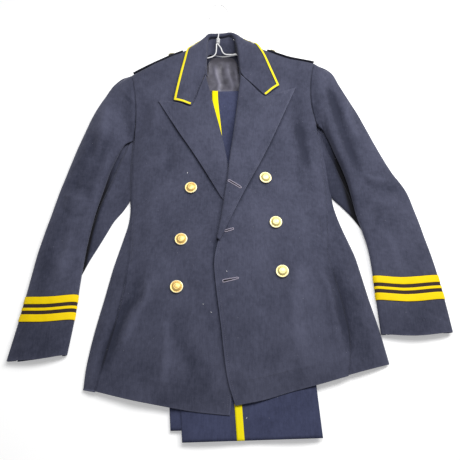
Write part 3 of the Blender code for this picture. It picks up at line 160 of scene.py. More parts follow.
# Columns: x and y where a fold starts, x and y where it ends, half its width, its height.
FRONT_FOLDS = (
    (0.134, 0.27, 0.16, 0.12, 0.012, -0.003),
    (0.12, -0.03, 0.112, -0.28, 0.014, 0.0022),
    (0.17, -0.02, 0.222, -0.262, 0.01, 0.0026),
    (-0.165, -0.04, -0.205, -0.18, 0.012, -0.0028),
    (-0.12, -0.13, -0.125, -0.325, 0.011, 0.0028),
    (-0.1, -0.18, 0.0, -0.29, 0.02, -0.0022),
    (-0.118, 0.215, -0.122, 0.15, 0.012, -0.002),
)
LEFT_SLEEVE_FOLDS = (
    (-0.225, 0.33, -0.285, 0.1, 0.016, -0.003),
    (-0.29, 0.15, -0.35, 0.06, 0.013, -0.0026),
    (-0.3, -0.01, -0.365, -0.06, 0.016, -0.0022),
)
RIGHT_SLEEVE_FOLDS = (
    (0.215, 0.35, 0.262, 0.14, 0.015, -0.0035),
    (0.262, 0.12, 0.35, 0.085, 0.015, -0.0034),
    (0.3, 0.08, 0.318, -0.03, 0.013, -0.0026),
)


def grid_mesh(name, grid, up=True, ring=False):
    """A mesh of four-sided faces from rows of places, its faces turned up or down on the whole."""
    rows, columns = grid.shape[:2]
    quads = []
    for i in range(rows - 1):
        for j in range(columns if ring else columns - 1):
            k = (j + 1) % columns
            quads.append((i * columns + j, i * columns + k, (i + 1) * columns + k, (i + 1) * columns + j))
    mesh = bpy.data.meshes.new(name)
    mesh.from_pydata((grid - (*BOX_MIDDLE, 0.0)).reshape(-1, 3).tolist(), [], quads)
    mesh.update()
    level = [face for face in mesh.polygons if abs(face.normal.z) > 0.5]
    side = 1.0 if up else -1.0
    outermost = max(side * face.center.z for face in level)
    lean = sum(face.normal.z * face.area for face in level if side * face.center.z > outermost - 0.001)
    if side * lean < 0.0:
        mesh.flip_normals()
    return mesh


def with_height(plan, height):
    """Adds heights to places on the table."""
    return np.dstack([plan, height])


def normals(grid, up=True):
    """The direction square to a grid's surface at each of its places."""
    across = np.gradient(grid, axis=1)
    along = np.gradient(grid, axis=0)
    n = np.cross(across, along)
    n /= np.linalg.norm(n, axis=2, keepdims=True)
    middle = n[grid.shape[0] // 2, grid.shape[1] // 2]
    return n if (middle[2] > 0.0) == up else -n


def sample(grid, rows, columns):
    """Places between a grid's own, at fractional row and column numbers."""
    i = np.clip(np.floor(rows).astype(int), 0, grid.shape[0] - 2)
    j = np.clip(np.floor(columns).astype(int), 0, grid.shape[1] - 2)
    s = (rows - i)[..., None]
    t = (columns - j)[..., None]
    return ((1 - s) * (1 - t) * grid[i, j] + s * (1 - t) * grid[i + 1, j]
            + (1 - s) * t * grid[i, j + 1] + s * t * grid[i + 1, j + 1])


def laid_on(grid, rows, columns, lift=SEAM):
    """Places on a panel, moved out from it."""
    face = normals(grid)
    return sample(grid, rows, columns) + lift * sample(face, rows, columns)


def spread(low, high, count):
    """Evenly spaced values."""
    return np.linspace(low, high, count)


def crowded(count, at_start=False, at_end=False):
    """Values from 0 to 1, closer together towards the ends that turn down steeply."""
    t = np.linspace(0.0, 1.0, count)
    if at_start and at_end:
        return 0.5 - 0.5 * np.cos(np.pi * t)
    if at_end:
        return np.sin(0.5 * np.pi * t)
    return 1.0 - np.cos(0.5 * np.pi * t)


LIP = 0.0012
SIDE_TURN_RADIUS = 0.006
SIDE_SEAM = 0.0007
RIGHT_TUCK = 0.008
TUCK_DEPTH = 0.0046
BACK_TURN = 0.016
BACK_SEAM_X = -0.014
BACK_TOP_MIDDLE = 0.4425
NECK_HALF = 0.052
NECK_DROP = 0.007

# The seam from each front to its side body, from the hem up to the underarm, then round the armhole.
LEFT_SEAM = ((-0.236, -0.301), (-0.222, -0.23), (-0.205, -0.15), (-0.196, -0.069), (-0.199, 0.038),
    (-0.203, 0.13), (-0.206, 0.212))
LEFT_ARMHOLE = ((-0.206, 0.212), (-0.2045, 0.24), (-0.204, 0.265), (-0.206, 0.305), (-0.213, 0.345),
    (-0.222, 0.3805))
RIGHT_SEAM = ((0.209, -0.2755), (0.218, -0.215), (0.212, -0.155), (0.202, -0.1), (0.19, -0.058),
    (0.193, 0.0), (0.197, 0.1), (0.191, 0.2), (0.187, 0.25))
RIGHT_ARMHOLE = ((0.187, 0.25), (0.179, 0.275), (0.176, 0.306), (0.177, 0.34), (0.182, 0.375),
    (0.191, 0.4135))

# The straight seams underneath, between each side body and its back, from the hem to the underarm.
LEFT_BACK_SEAM = ((-0.2, -0.297), (-0.18, 0.22))
RIGHT_BACK_SEAM = ((0.24, -0.254), (0.165, 0.25))

# The fronts' edges below the roll, and the hems, from the outer side to the front edge.
LEFT_HEM = ((-0.236, -0.301), (-0.175, -0.315), (-0.121, -0.325), (-0.061, -0.335), (0.0, -0.341))
LEFT_EDGE = ((0.0, -0.341), (0.012, -0.2), (0.02, 0.0), (0.016, 0.034), (0.003, 0.062), (-0.012, 0.146),
    (-0.026, 0.217), (-0.037, 0.263), (-0.053, 0.331), (-0.064, 0.372), (-0.0665, 0.405), (-0.067, 0.4605))
LEFT_SHOULDER = ((-0.222, 0.3805), (-0.135, 0.4335), (-0.098, 0.4515), (-0.067, 0.4605))
RIGHT_HEM = ((0.009, -0.325), (0.058, -0.316), (0.108, -0.302), (0.155, -0.29), (0.209, -0.2755))
RIGHT_EDGE = ((0.009, -0.325), (-0.002, -0.293), (-0.012, -0.23), (-0.017, -0.182), (-0.025, -0.127),
    (-0.03, -0.072), (-0.03, -0.045), (-0.028, -0.03), (-0.0185, -0.016), (-0.0105, 0.021),
    (-0.004, 0.066), (0.004, 0.125), (0.007, 0.155), (0.017, 0.233), (0.026, 0.317), (0.032, 0.374),
    (0.033, 0.4665))
RIGHT_SHOULDER = ((0.033, 0.4665), (0.06, 0.4625), (0.079, 0.4515), (0.132, 0.4295), (0.191, 0.4135))

# Columns: x, y of the backs' upper edge, which runs along the shoulders and dips at the neck.
BACK_TOP = ((-0.222, 0.3805), (-0.135, 0.4335), (-0.098, 0.4515), (-0.066, 0.46), (-0.05, 0.448),
    (-0.03, 0.443), (0.002, 0.443), (0.02, 0.449), (0.036, 0.464), (0.06, 0.4625), (0.079, 0.4515),
    (0.132, 0.4295), (0.191, 0.4135))

LEFT_SIDE_FOLD = tuple((row[1], row[0]) for row in SIDE_FOLDS[1:12])
RIGHT_SIDE_FOLD = tuple((row[2], row[0]) for row in SIDE_FOLDS[2:12])


def joined_lines(lower, upper):
    """Two lines end to end."""
    return tuple(lower) + tuple(upper[1:])


def shifted(points, dx, dy=0.0):
    """A line moved on the table."""
    return tuple((x + dx, y + dy) for x, y in points)


def on_line(ends, y):
    """x on a straight line at a given y."""
    (x0, y0), (x1, y1) = ends
    return x0 + (x1 - x0) * (y - y0) / (y1 - y0)


def between(a, b, count):
    """Places along a straight line, both ends included."""
    return [(a[0] + (b[0] - a[0]) * t, a[1] + (b[1] - a[1]) * t) for t in spread(0.0, 1.0, count)]


def upright_lip(grid, edge_height, lip):
    """Ends a piece with a short upright strip, so that it meets its neighbour edge to edge."""
    last = grid[-1:].copy()
    last[..., 2] = edge_height
    grid[-1, :, 2] = edge_height + lip
    return np.concatenate([grid, last], axis=0)


FRONT_ROWS = np.concatenate([spread(0.0, 0.93, 18), [0.96, 0.98, 0.992, 1.0]])
FRONT_LEFT_COLUMNS = 0.35 * crowded(12, at_end=True) + 0.65 * spread(0.0, 1.0, 12)
FRONT_RIGHT_COLUMNS = spread(0.0, 1.0, 13)
SIDE_ROWS = 17
SIDE_COLUMNS = 6
SIDE_TURN_ANGLES = (0.5, 1.05, 0.5 * math.pi)
TUCK_WIDTH = 0.03

# The backs: rows below and above the underarm's corner, columns, how far the hem drops to the middle seam,
# how far the corner rises into the armhole, and the share of that rise at which a row lies.
BACK_LOW_ROWS = 7
BACK_HIGH_ROWS = (0.965, 0.985, 0.994, 1.0)
BACK_COLUMNS = 7
BACK_HEM_DROP = 0.01
BACK_CORNER_RISE = 0.022
BACK_CORNER_SHARE = 0.3


def front_left_grid():
    """The wearer's right front, which lies under the other one."""
    outer = joined_lines(LEFT_SEAM, LEFT_ARMHOLE)
    plan = patch(LEFT_HEM, LEFT_SHOULDER, outer, LEFT_EDGE, FRONT_LEFT_COLUMNS, FRONT_ROWS)
    x, y = plan[..., 0], plan[..., 1]
    height = body_height(x, y) + folds_height(x, y, FRONT_FOLDS)
    return upright_lip(with_height(plan, height), SHOULDER_TURN_HEIGHT, LIP)


def front_right_grid():
    """The wearer's left front, which lies on top."""
    outer = joined_lines(RIGHT_SEAM, RIGHT_ARMHOLE)
    plan = patch(RIGHT_HEM, RIGHT_SHOULDER, RIGHT_EDGE, outer, FRONT_RIGHT_COLUMNS, FRONT_ROWS)
    x, y = plan[..., 0], plan[..., 1]
    over = over_height(x, y) * smooth((column(SHOULDER_TURN, 1, x) - y) / SHOULDER_ROUND)
    height = body_height(x, y) + over + folds_height(x, y, FRONT_FOLDS)
    return upright_lip(with_height(plan, height), SHOULDER_TURN_HEIGHT, LIP)


def side_grid(seam, fold, back_seam, tuck, inward):
    """A side body: from its seam on top, round the side fold, to its seam underneath."""
    top_seam = shifted(seam, inward * (tuck - SIDE_SEAM))
    hem_y = back_seam[0][1]
    hem = (top_seam[0], (fold[0][0], hem_y))
    arm = (top_seam[-1], fold[-1])
    plan = patch(hem, arm, top_seam, fold, crowded(SIDE_COLUMNS, at_end=True), spread(0.0, 1.0, SIDE_ROWS))
    x, y = plan[..., 0], plan[..., 1]
    sunk = TUCK_DEPTH * (1.0 - smooth(np.abs(x - plan[:, :1, 0]) / TUCK_WIDTH)) if tuck else 0.0
    top = with_height(plan, np.maximum(body_height(x, y) - sunk, SIDE_TURN_HEIGHT))
    end = top[:, -1]
    columns = [top]
    for angle in SIDE_TURN_ANGLES:
        turned = end.copy()
        turned[:, 0] += inward * SIDE_TURN_RADIUS * (1.0 - math.cos(angle))
        turned[:, 2] = end[:, 2] * (1.0 - math.sin(angle))
        columns.append(turned[:, None])
    under = end.copy()
    under[:, 0] = on_line(back_seam, end[:, 1])
    under[:, 2] = 0.0
    columns.append(under[:, None])
    return np.concatenate(columns, axis=1)


def back_grid(seam, armhole, inward, middle_x):
    """A back, flat on the table, turning up to the shoulder seam."""
    hem, underarm = shifted(seam, 2.0 * inward * SEAM)
    corner = (underarm[0], underarm[1] + BACK_CORNER_RISE)
    outer = (*between(hem, underarm, BACK_LOW_ROWS), corner, *armhole[2:])
    top = [row for row in BACK_TOP if (middle_x - row[0]) * inward > 0.001]
    if inward < 0.0:
        top.reverse()
    top = (outer[-1],) + tuple(top[1:]) + ((middle_x, BACK_TOP_MIDDLE),)
    low = (outer[0], (middle_x, hem[1] - BACK_HEM_DROP))
    inner = (low[1], (middle_x, BACK_TOP_MIDDLE))
    lengths = np.linalg.norm(np.diff(np.array(outer), axis=0), axis=1)
    last = BACK_LOW_ROWS - 1
    share = (lengths[:last].sum() + BACK_CORNER_SHARE * lengths[last]) / lengths.sum()
    rows = np.concatenate([spread(0.0, share, BACK_LOW_ROWS), spread(share, 0.94, 4)[1:], BACK_HIGH_ROWS])
    plan = patch(low, top, outer, inner, spread(0.0, 1.0, BACK_COLUMNS), rows)
    left = np.clip((plan[-1:, :, 1] - plan[..., 1]) / BACK_TURN, 0.0, 1.0)
    neck = smooth((NECK_HALF - np.abs(plan[-1, :, 0] - BACK_SEAM_X)) / (0.5 * NECK_HALF))
    edge = SHOULDER_TURN_HEIGHT - 2.0 * SEAM - NECK_DROP * neck
    height = (edge - LIP) * (1.0 - np.sqrt(1.0 - (1.0 - left) ** 2))
    return upright_lip(with_height(plan, height), edge, -LIP)


LAPEL_LIFT = LAPEL_CLOTH + 0.0012
LAPEL_PUFF = 0.001
ROLL_DROP = 0.005
LAPEL_ROLL_COLUMNS = (0.0, 0.03)
LAPEL_ROLL_DROPS = (0.0022, 0.0009)
LAPEL_ROWS = 13
LEFT_ROLL = ((0.0115, 0.062), (0.004, 0.105), (-0.004, 0.146), (-0.018, 0.217), (-0.029, 0.263),
    (-0.045, 0.331), (-0.0555, 0.372))
RIGHT_ROLL = ((-0.0262, -0.019), (-0.018, 0.021), (-0.012, 0.066), (-0.004, 0.125), (-0.001, 0.155),
    (0.009, 0.233), (0.018, 0.317), (0.0245, 0.374))
GORGE_LEFT = ((-0.0555, 0.372), (-0.0657, 0.341), (-0.083, 0.288))
GORGE_RIGHT = ((0.0245, 0.374), (0.048, 0.3457), (0.076, 0.312))
GORGE_GAP = 0.0012
LEFT_LAPEL_TIP = ((-0.102, 0.2925), (-0.121, 0.298), (-0.138, 0.299), (-0.156, 0.299))
RIGHT_LAPEL_TIP = ((0.099, 0.318), (0.122, 0.326), (0.145, 0.335))
LEFT_LAPEL_EDGE = ((0.0, 0.05), (-0.014, 0.064), (-0.055, 0.135), (-0.105, 0.216), LEFT_LAPEL_TIP[-1])
RIGHT_LAPEL_EDGE = ((-0.0195, -0.024), (-0.005, 0.006), (0.029, 0.08), (0.064, 0.15), (0.105, 0.242),
    RIGHT_LAPEL_TIP[-1])


def lying_height(x, y):
    """Height of the fronts without their turn at the shoulders, for what is laid over them."""
    crown = column(CROWN, 1, column(SHOULDER_TURN, 1, x) - y)
    across = np.minimum(x - column(SIDE_FOLDS, 1, y), column(SIDE_FOLDS, 2, y) - x)
    return SIDE_TURN_HEIGHT + (crown - SIDE_TURN_HEIGHT) * rounded(across / SIDE_ROUND, SIDE_POWER)


def leaf_height(x, y, on_right):
    """Height of the lapels and the collar's leaf, which lie turned down on the fronts."""
    over = over_height(x, y) if on_right else 0.0
    return lying_height(x, y) + over + LAPEL_LIFT + folds_height(x, y, FRONT_FOLDS)


def lapel_grid(roll, outer_edge, gorge, tip, on_right):
    """A lapel, from its outer edge to its roll line, where it turns down over the front's edge."""
    outward = 1.0 if on_right else -1.0
    top = shifted(gorge, -outward * GORGE_GAP, -GORGE_GAP) + tuple(tip)
    roll = tuple(roll[:-1]) + (top[0],)
    us = np.concatenate([LAPEL_ROLL_COLUMNS, spread(0.12, 1.0, 7)])
    plan = patch((roll[0], outer_edge[0]), top, roll, outer_edge, us, spread(0.0, 1.0, LAPEL_ROWS))
    height = leaf_height(plan[..., 0], plan[..., 1], on_right) + LAPEL_PUFF * np.sin(np.pi * us)[None, :]
    height[:, :2] -= LAPEL_ROLL_DROPS
    face = with_height(plan, height)
    turned = face[:, :1].copy()
    turned[..., 2] -= ROLL_DROP - LAPEL_ROLL_DROPS[0]
    return np.concatenate([turned, face], axis=1)


# The collar, from the left front's notch round the back of the neck to the right front's.
# Columns: outer edge x, y and height, crest x, y and height, foot of the stand x, y and height.
# A height of 0 lies on the front, and a foot of three zeros means that the stand has not begun.
COLLAR = (
    (-0.122, 0.301, 0.0, -0.083, 0.288, 0.0, 0.0, 0.0, 0.0),
    (-0.118, 0.33, 0.0, -0.0743, 0.3145, 0.0, 0.0, 0.0, 0.0),
    (-0.113, 0.36, 0.0, -0.0657, 0.341, 0.0, 0.0, 0.0, 0.0),
    (-0.108, 0.388, 0.0, -0.0555, 0.372, 0.0, -0.0505, 0.374, 0.028),
    (-0.102, 0.42, 0.0, -0.056, 0.405, 0.0, -0.0525, 0.405, 0.0268),
    (-0.0975, 0.4435, 0.0375, -0.0555, 0.44, 0.043, -0.0515, 0.431, 0.0262),
    (-0.079, 0.4725, 0.023, -0.054, 0.468, 0.04, -0.044, 0.4435, 0.0195),
    (-0.056, 0.497, 0.009, -0.0495, 0.484, 0.038, -0.033, 0.4455, 0.0154),
    (-0.02, 0.502, 0.0045, -0.021, 0.4875, 0.0362, -0.015, 0.4455, 0.014),
    (0.019, 0.502, 0.009, 0.0055, 0.49, 0.038, 0.0005, 0.446, 0.0168),
    (0.048, 0.4765, 0.0232, 0.0135, 0.471, 0.04, 0.0105, 0.446, 0.023),
    (0.063, 0.4575, 0.0382, 0.019, 0.444, 0.043, 0.0155, 0.44, 0.0268),
    (0.078, 0.428, 0.0, 0.0225, 0.41, 0.0, 0.0195, 0.407, 0.028),
    (0.091, 0.392, 0.0, 0.0245, 0.374, 0.0, 0.0215, 0.374, 0.03),
    (0.1, 0.365, 0.0, 0.048, 0.3457, 0.0, 0.0, 0.0, 0.0),
    (0.108, 0.339, 0.0, 0.076, 0.312, 0.0, 0.0, 0.0, 0.0),
)
COLLAR_PUFF = 0.0022

# The crest's three places. Columns: way in from the crest, the same once the stand has begun, drop, and the
# same once the stand has begun. Where there is no stand, only the way back from the crest.
CREST_WITH_STAND = ((-0.004, 0.0, 0.0004, 0.0), (-0.002, 0.0035, 0.0004, 0.0018),
    (-0.0006, 0.0034, 0.0015, 0.006))
CREST_ALONE = (0.007, 0.003, 0.0014)

# At the back the leaf falls steeply: where that is so, how far up it bends, and how far out and up.
COLLAR_STEEP = 0.01
COLLAR_BEND_SHARE = 0.55
COLLAR_BEND = (0.0, 0.003, 0.003)
COLLAR_ROWS = 28
STAND_ROWS = 17
STAND_CLOTH = 0.0016
STAND_STARTS = 0.38


def collar_sections():
    """Each row's section from the outer edge over the crest to the stand's seam, and the stand's foot."""
    sections = []
    feet = []
    for ox, oy, oz, cx, cy, cz, fx, fy, fz in COLLAR:
        on_right = cx > BACK_SEAM_X
        o = np.array((ox, oy, oz or float(leaf_height(np.array(ox), np.array(oy), on_right))))
        c = np.array((cx, cy, cz or float(leaf_height(np.array(cx), np.array(cy), on_right))))
        inward = (c - o) * np.array((1.0, 1.0, 0.0))
        inward /= np.linalg.norm(inward)
        down = np.array((0.0, 0.0, -1.0))
        if fz:
            begun = 0.0 if cy < STAND_STARTS else 1.0
            before, shoulder, seam = (c + (flat + turned * begun) * inward + (drop + hooked * begun) * down
                                      for flat, turned, drop, hooked in CREST_WITH_STAND)
            feet.append((seam, np.array((fx, fy, fz))))
        else:
            before, shoulder, seam = (c - back * inward for back in CREST_ALONE)
        if abs(c[2] - o[2]) > COLLAR_STEEP:
            middle = o + COLLAR_BEND_SHARE * (c - o) + np.array(COLLAR_BEND)
        else:
            middle = 0.5 * (o + c) - COLLAR_PUFF * down
        quarter = 0.5 * (o + middle) - 0.3 * COLLAR_PUFF * down
        sections.append((o, quarter, middle, 0.5 * (middle + before), before, shoulder, seam))
    return sections, feet


def collar_grid():
    """The collar's leaf with its crest."""
    sections = collar_sections()[0]
    fine = spread(0.0, 1.0, COLLAR_ROWS)
    return np.stack([curve([row[k] for row in sections], fine) for k in range(len(sections[0]))], axis=1)


def stand_grid():
    """The stand inside the neck, from under the crest down to the neck seam."""
    feet = collar_sections()[1]
    fine = spread(0.0, 1.0, STAND_ROWS)
    top = curve([pair[0] for pair in feet], fine)
    foot = curve([pair[1] for pair in feet], fine)
    down = (foot - top) / np.linalg.norm(foot - top, axis=1, keepdims=True)
    top = top + 6.0 * SEAM * down
    return np.stack([top, 0.5 * (top + foot), foot], axis=1)


# Each sleeve's outer fold, from the shoulder's tip to the cuff, and its inner fold from the underarm.
LEFT_OUTER = ((-0.2228, 0.3812), (-0.247, 0.372), (-0.268, 0.343), (-0.284, 0.313), (-0.297, 0.285),
    (-0.317, 0.225), (-0.333, 0.165), (-0.347, 0.108), (-0.358, 0.053), (-0.368, 0.0), (-0.377, -0.05),
    (-0.385, -0.122), (-0.392, -0.18), (-0.398, -0.22), (-0.402, -0.249))
LEFT_INNER = ((-0.2115, 0.213), (-0.227, 0.203), (-0.24, 0.17), (-0.252, 0.133), (-0.26, 0.094),
    (-0.27, 0.049), (-0.277, 0.003), (-0.282, -0.044), (-0.285, -0.099), (-0.288, -0.168), (-0.294, -0.238))
RIGHT_OUTER = ((0.1918, 0.4142), (0.214, 0.405), (0.232, 0.383), (0.247, 0.355), (0.261, 0.328),
    (0.274, 0.298), (0.287, 0.27), (0.297, 0.24), (0.32, 0.18), (0.347, 0.122), (0.361, 0.099),
    (0.37, 0.066), (0.384, 0.0), (0.394, -0.05), (0.401, -0.099), (0.406, -0.145), (0.41, -0.197))
RIGHT_INNER = ((0.1905, 0.2505), (0.201, 0.243), (0.213, 0.213), (0.228, 0.165), (0.241, 0.122),
    (0.249, 0.076), (0.256, 0.031), (0.268, -0.019), (0.273, -0.065), (0.275, -0.13), (0.277, -0.201))
LEFT_CUFF = ((-0.294, -0.238), (-0.345, -0.2465), (-0.402, -0.249))
RIGHT_CUFF = ((0.277, -0.201), (0.34, -0.2045), (0.41, -0.197))

# The edge of the underarm cloth, which lies below the sleeve and shows between it and the coat's side.
LEFT_WEB = ((-0.2135, 0.207), (-0.2132, 0.17), (-0.2125, 0.13), (-0.2098, 0.095), (-0.216, 0.064),
    (-0.233, 0.031), (-0.256, -0.019), (-0.273, -0.053), (-0.283, -0.08), (-0.2985, -0.105),
    (-0.3015, -0.168), (-0.3075, -0.237))
RIGHT_WEB = ((0.199, 0.236), (0.2012, 0.205), (0.2078, 0.147), (0.211, 0.095), (0.228, 0.069),
    (0.246, 0.042), (0.264, 0.01), (0.28, -0.02), (0.2865, -0.05), (0.2885, -0.13), (0.2905, -0.2))
WEB_HEIGHT = 0.0054
WEB_CLOTH = 0.0014

# Columns: share of the way down a sleeve, height of its crown, of its outer fold's middle,
# of its inner fold's middle, and of the inner fold's lower face, which lies on the underarm cloth.
SLEEVE_HEIGHTS = ((0.0, 0.034, 0.019, 0.011, 0.0062), (0.06, 0.0335, 0.0165, 0.0105, 0.0062),
    (0.15, 0.0315, 0.012, 0.01, 0.0062), (0.35, 0.0265, 0.0085, 0.0095, 0.0062),
    (0.55, 0.0225, 0.008, 0.009, 0.0062), (0.72, 0.0195, 0.0078, 0.0085, 0.0062),
    (0.82, 0.018, 0.0075, 0.007, 0.0), (1.0, 0.017, 0.0075, 0.007, 0.0))
SLEEVE_TURN_RADIUS = 0.006
SLEEVE_TURN_ANGLES = (0.5 * math.pi, 0.85)
SLEEVE_HEAD_SHARE = 0.17
SLEEVE_ROWS = np.concatenate([[0.0, 0.03, 0.07, 0.12], spread(0.18, 1.0, 12)])
SLEEVE_COLUMNS = 12
SLEEVE_SIDE_POWER = 2.4
SLEEVE_CROWN_POWER = 2.2
ARMHOLE_GAP = 0.0007

# How far the top sleeve reaches in under its inner and its outer fold, and the under sleeve's rows, its way
# in from the outer fold, and its gap to the armhole with the place of its head's tip.
INNER_TUCK = 0.011
OUTER_TUCK = 0.015
UNDER_ROWS = 16
UNDER_COLUMNS = 4
UNDER_INSET = 0.018
UNDER_GAP = 0.0024
UNDER_TIP = (0.003, -0.022)

# The underarm cloth folds back on itself: the angles of that turn, and how far it reaches under the sleeve.
WEB_ANGLES = (90.0, 30.0, -30.0, -90.0)
WEB_REACH = 0.01
WEB_WIDEST = 0.06


def sleeve_top_grid(inner, outer, armhole, cuff, folds, outward):
    """A top sleeve, from under its inner fold over the crown to under its outer fold."""
    vs = SLEEVE_ROWS
    us = crowded(SLEEVE_COLUMNS, at_start=True, at_end=True)
    plan = patch(shifted(armhole, outward * ARMHOLE_GAP), cuff, inner, outer, us, vs)
    x, y = plan[..., 0], plan[..., 1]
    crown, turn, inner_turn, inner_low = (column(SLEEVE_HEIGHTS, k, vs)[:, None] for k in (1, 2, 3, 4))
    share = us[None, :]
    edge = inner_turn + (turn - inner_turn) * share
    profile = (1.0 - np.abs(2.0 * share - 1.0) ** SLEEVE_SIDE_POWER) ** (1.0 / SLEEVE_CROWN_POWER)
    own = edge + (crown - edge) * profile + folds_height(x, y, folds) * profile
    head = smooth(vs / SLEEVE_HEAD_SHARE)[:, None]
    seam_height = np.maximum(body_height(x, y), edge)
    height = seam_height + (own - seam_height) * head
    grid = with_height(plan, height)
    across = plan[:, -1] - plan[:, 0]
    across /= np.linalg.norm(across, axis=1, keepdims=True)
    before, after = [], []
    for angle in SLEEVE_TURN_ANGLES:
        reach = SLEEVE_TURN_RADIUS * (1.0 - math.cos(angle))
        low = inner_low[:, 0]
        drop = grid[:, 0, 2] - low
        before.append(np.column_stack([plan[:, 0] + across * reach, low + drop * (1.0 - math.sin(angle))]))
        drop = grid[:, -1, 2]
        after.insert(0, np.column_stack([plan[:, -1] - across * reach, drop * (1.0 - math.sin(angle))]))
    tucked = np.column_stack([plan[:, 0] + across * INNER_TUCK, inner_low[:, 0]])
    under = np.column_stack([plan[:, -1] - across * OUTER_TUCK, np.zeros(len(vs))])
    columns = [tucked] + before + [grid[:, j] for j in range(len(us))] + after + [under]
    return np.stack(columns, axis=1)


def sleeve_under_grid(web, inner, outer, armhole, cuff, outward):
    """An under sleeve: flat on the table, and folded back on itself at the underarm's edge."""
    vs = spread(0.0, 1.0, UNDER_ROWS)
    inset = shifted(outer[2:-1], -outward * UNDER_INSET)
    head = shifted(armhole[-1:], outward * UNDER_TIP[0], UNDER_TIP[1])
    end = head + inset + shifted(cuff[-1:], -outward * UNDER_INSET)
    edge = tuple(web)
    top = (edge[0],) + shifted(armhole[2:-1], outward * UNDER_GAP) + head
    low = (edge[-1], (0.5 * (edge[-1][0] + end[-1][0]), 0.5 * (edge[-1][1] + end[-1][1]) - 0.001), end[-1])
    plan = patch(top, low, edge, end, spread(0.0, 1.0, UNDER_COLUMNS), vs)
    across = plan[:, -1] - plan[:, 0]
    across /= np.linalg.norm(across, axis=1, keepdims=True)
    fold = curve(inner, vs)
    reach = np.clip(np.abs(fold[:, 0] - plan[:, 0, 0]), 0.0, WEB_WIDEST) + WEB_REACH
    radius = 0.5 * WEB_HEIGHT
    start = plan[:, 0]
    columns = []
    for share in (1.0, 0.5):
        tucked = start + across * (reach[:, None] * share)
        columns.append(np.column_stack([tucked, np.full(len(vs), WEB_HEIGHT)]))
    for angle in WEB_ANGLES:
        turn = math.radians(angle)
        place = start + across * radius * (1.0 - math.cos(turn))
        columns.append(np.column_stack([place, np.full(len(vs), radius * (1.0 + math.sin(turn)))]))
    for j in range(1, plan.shape[1]):
        columns.append(np.column_stack([plan[:, j], np.zeros(len(vs))]))
    return np.stack(columns, axis=1)


# Columns: distance from the cuff's hem to a braid, its width. The braids rise a little more than the hem:
# how much higher they lie on each sleeve's inner side and on its outer side.
CUFF_BRAIDS = ((0.0952, WIDE_BRAID), (0.0828, NARROW_BRAID), (0.062, WIDE_BRAID))
LEFT_BRAID_RISE = (0.0015, 0.0105)
RIGHT_BRAID_RISE = (0.0025, 0.0005)
BRAID_LOWEST = 0.0025

# How far in from the collar's edge its braid starts, as a share of a row, and how far it lies over the cloth.
BRAID_INSET = 0.06
BRAID_LIFT = 0.0009


def from_the_cuff(grid, distances):
    """Fractional row numbers at each column's distance up from the cuff's hem."""
    steps = np.linalg.norm(np.diff(grid[::-1], axis=0), axis=2)
    run = np.concatenate([np.zeros((1, grid.shape[1])), np.cumsum(steps, axis=0)])
    numbers = np.arange(grid.shape[0])[::-1]
    return np.array([np.interp(distances[j], run[:, j], numbers) for j in range(grid.shape[1])])


# The neck lining's edges, and its height where it is low and under the stand.
LINING_FOOT = ((-0.11, 0.318), (-0.014, 0.316), (0.085, 0.318))
LINING_LEFT = ((-0.11, 0.318), (-0.092, 0.36), (-0.048, 0.399))
LINING_RIGHT = ((0.085, 0.318), (0.062, 0.36), (0.018, 0.399))
LINING_LOW = 0.0034
LINING_HIGH = 0.0118
LINING_ROWS = 9
LINING_COLUMNS = 11


# The front buttons' places.
LEFT_BUTTONS = ((-0.079, 0.091), (-0.095, -0.02), (-0.1, -0.115))
RIGHT_BUTTONS = ((0.072, 0.113), (0.09, 0.015), (0.099, -0.085))

def seat(grid, x, y, radius):
    """Height and slopes of the plane that rests on a panel's highest place under a button."""
    rows = spread(0.0, grid.shape[0] - 1.001, 6 * grid.shape[0])
    rows = np.repeat(rows[:, None], 8 * grid.shape[1], axis=1)
    columns = np.repeat(spread(0.0, grid.shape[1] - 1.001, 8 * grid.shape[1])[None], rows.shape[0], axis=0)
    points = sample(grid, rows, columns).reshape(-1, 3)
    under = points[np.hypot(points[:, 0] - x, points[:, 1] - y) < radius]
    matrix = np.column_stack([under[:, 0] - x, under[:, 1] - y, np.ones(len(under))])
    slope_x, slope_y, z = np.linalg.lstsq(matrix, under[:, 2], rcond=None)[0]
    highest = np.max(under[:, 2] - matrix @ np.array((slope_x, slope_y, z)))
    return z + highest, slope_x, slope_y


# The shoulder straps. Columns: distance in from the shoulder's turn, lift over the front, and where the strap
# has passed the turn, its height over the table instead.
STRAP_SECTION = ((0.011, 0.002, 0.0), (0.006, 0.0005, 0.0), (0.0012, 0.0004, 0.0), (-0.0022, 0.0, 0.0225),
    (-0.004, 0.0, 0.016), (-0.0044, 0.0, 0.008))
# The straps' lines along the shoulder, from the sleeve to the collar: x, y, share of the full width in front.
LEFT_STRAP = ((-0.217, 0.3845, 0.4), (-0.18, 0.407, 0.65), (-0.135, 0.4345, 0.95), (-0.108, 0.448, 1.0))
RIGHT_STRAP = ((0.19, 0.4148, 0.55), (0.16, 0.4225, 0.9), (0.132, 0.4305, 1.0), (0.085, 0.449, 0.65))
STRAP_ROWS = 8

# The strap's button: its place by the strap's own rows and columns, and how far it stands off the cloth.
STRAP_BUTTON_ROW = 6.2
STRAP_BUTTON_COLUMN = 3.5
STRAP_BUTTON_LIFT = 0.0013


def strap_grid(places):
    """The inner face of a shoulder strap, which lies over the shoulder's turn to its back."""
    line = curve(places, spread(0.0, 1.0, STRAP_ROWS))
    rows = []
    for x, y, share in line:
        row = []
        for distance, lift, height in STRAP_SECTION:
            place_y = y - max(distance, 0.0) * share - min(distance, 0.0)
            row.append((x, place_y, height or float(body_height(np.array(x), np.array(place_y))) + lift))
        rows.append(row)
    return np.array(rows)


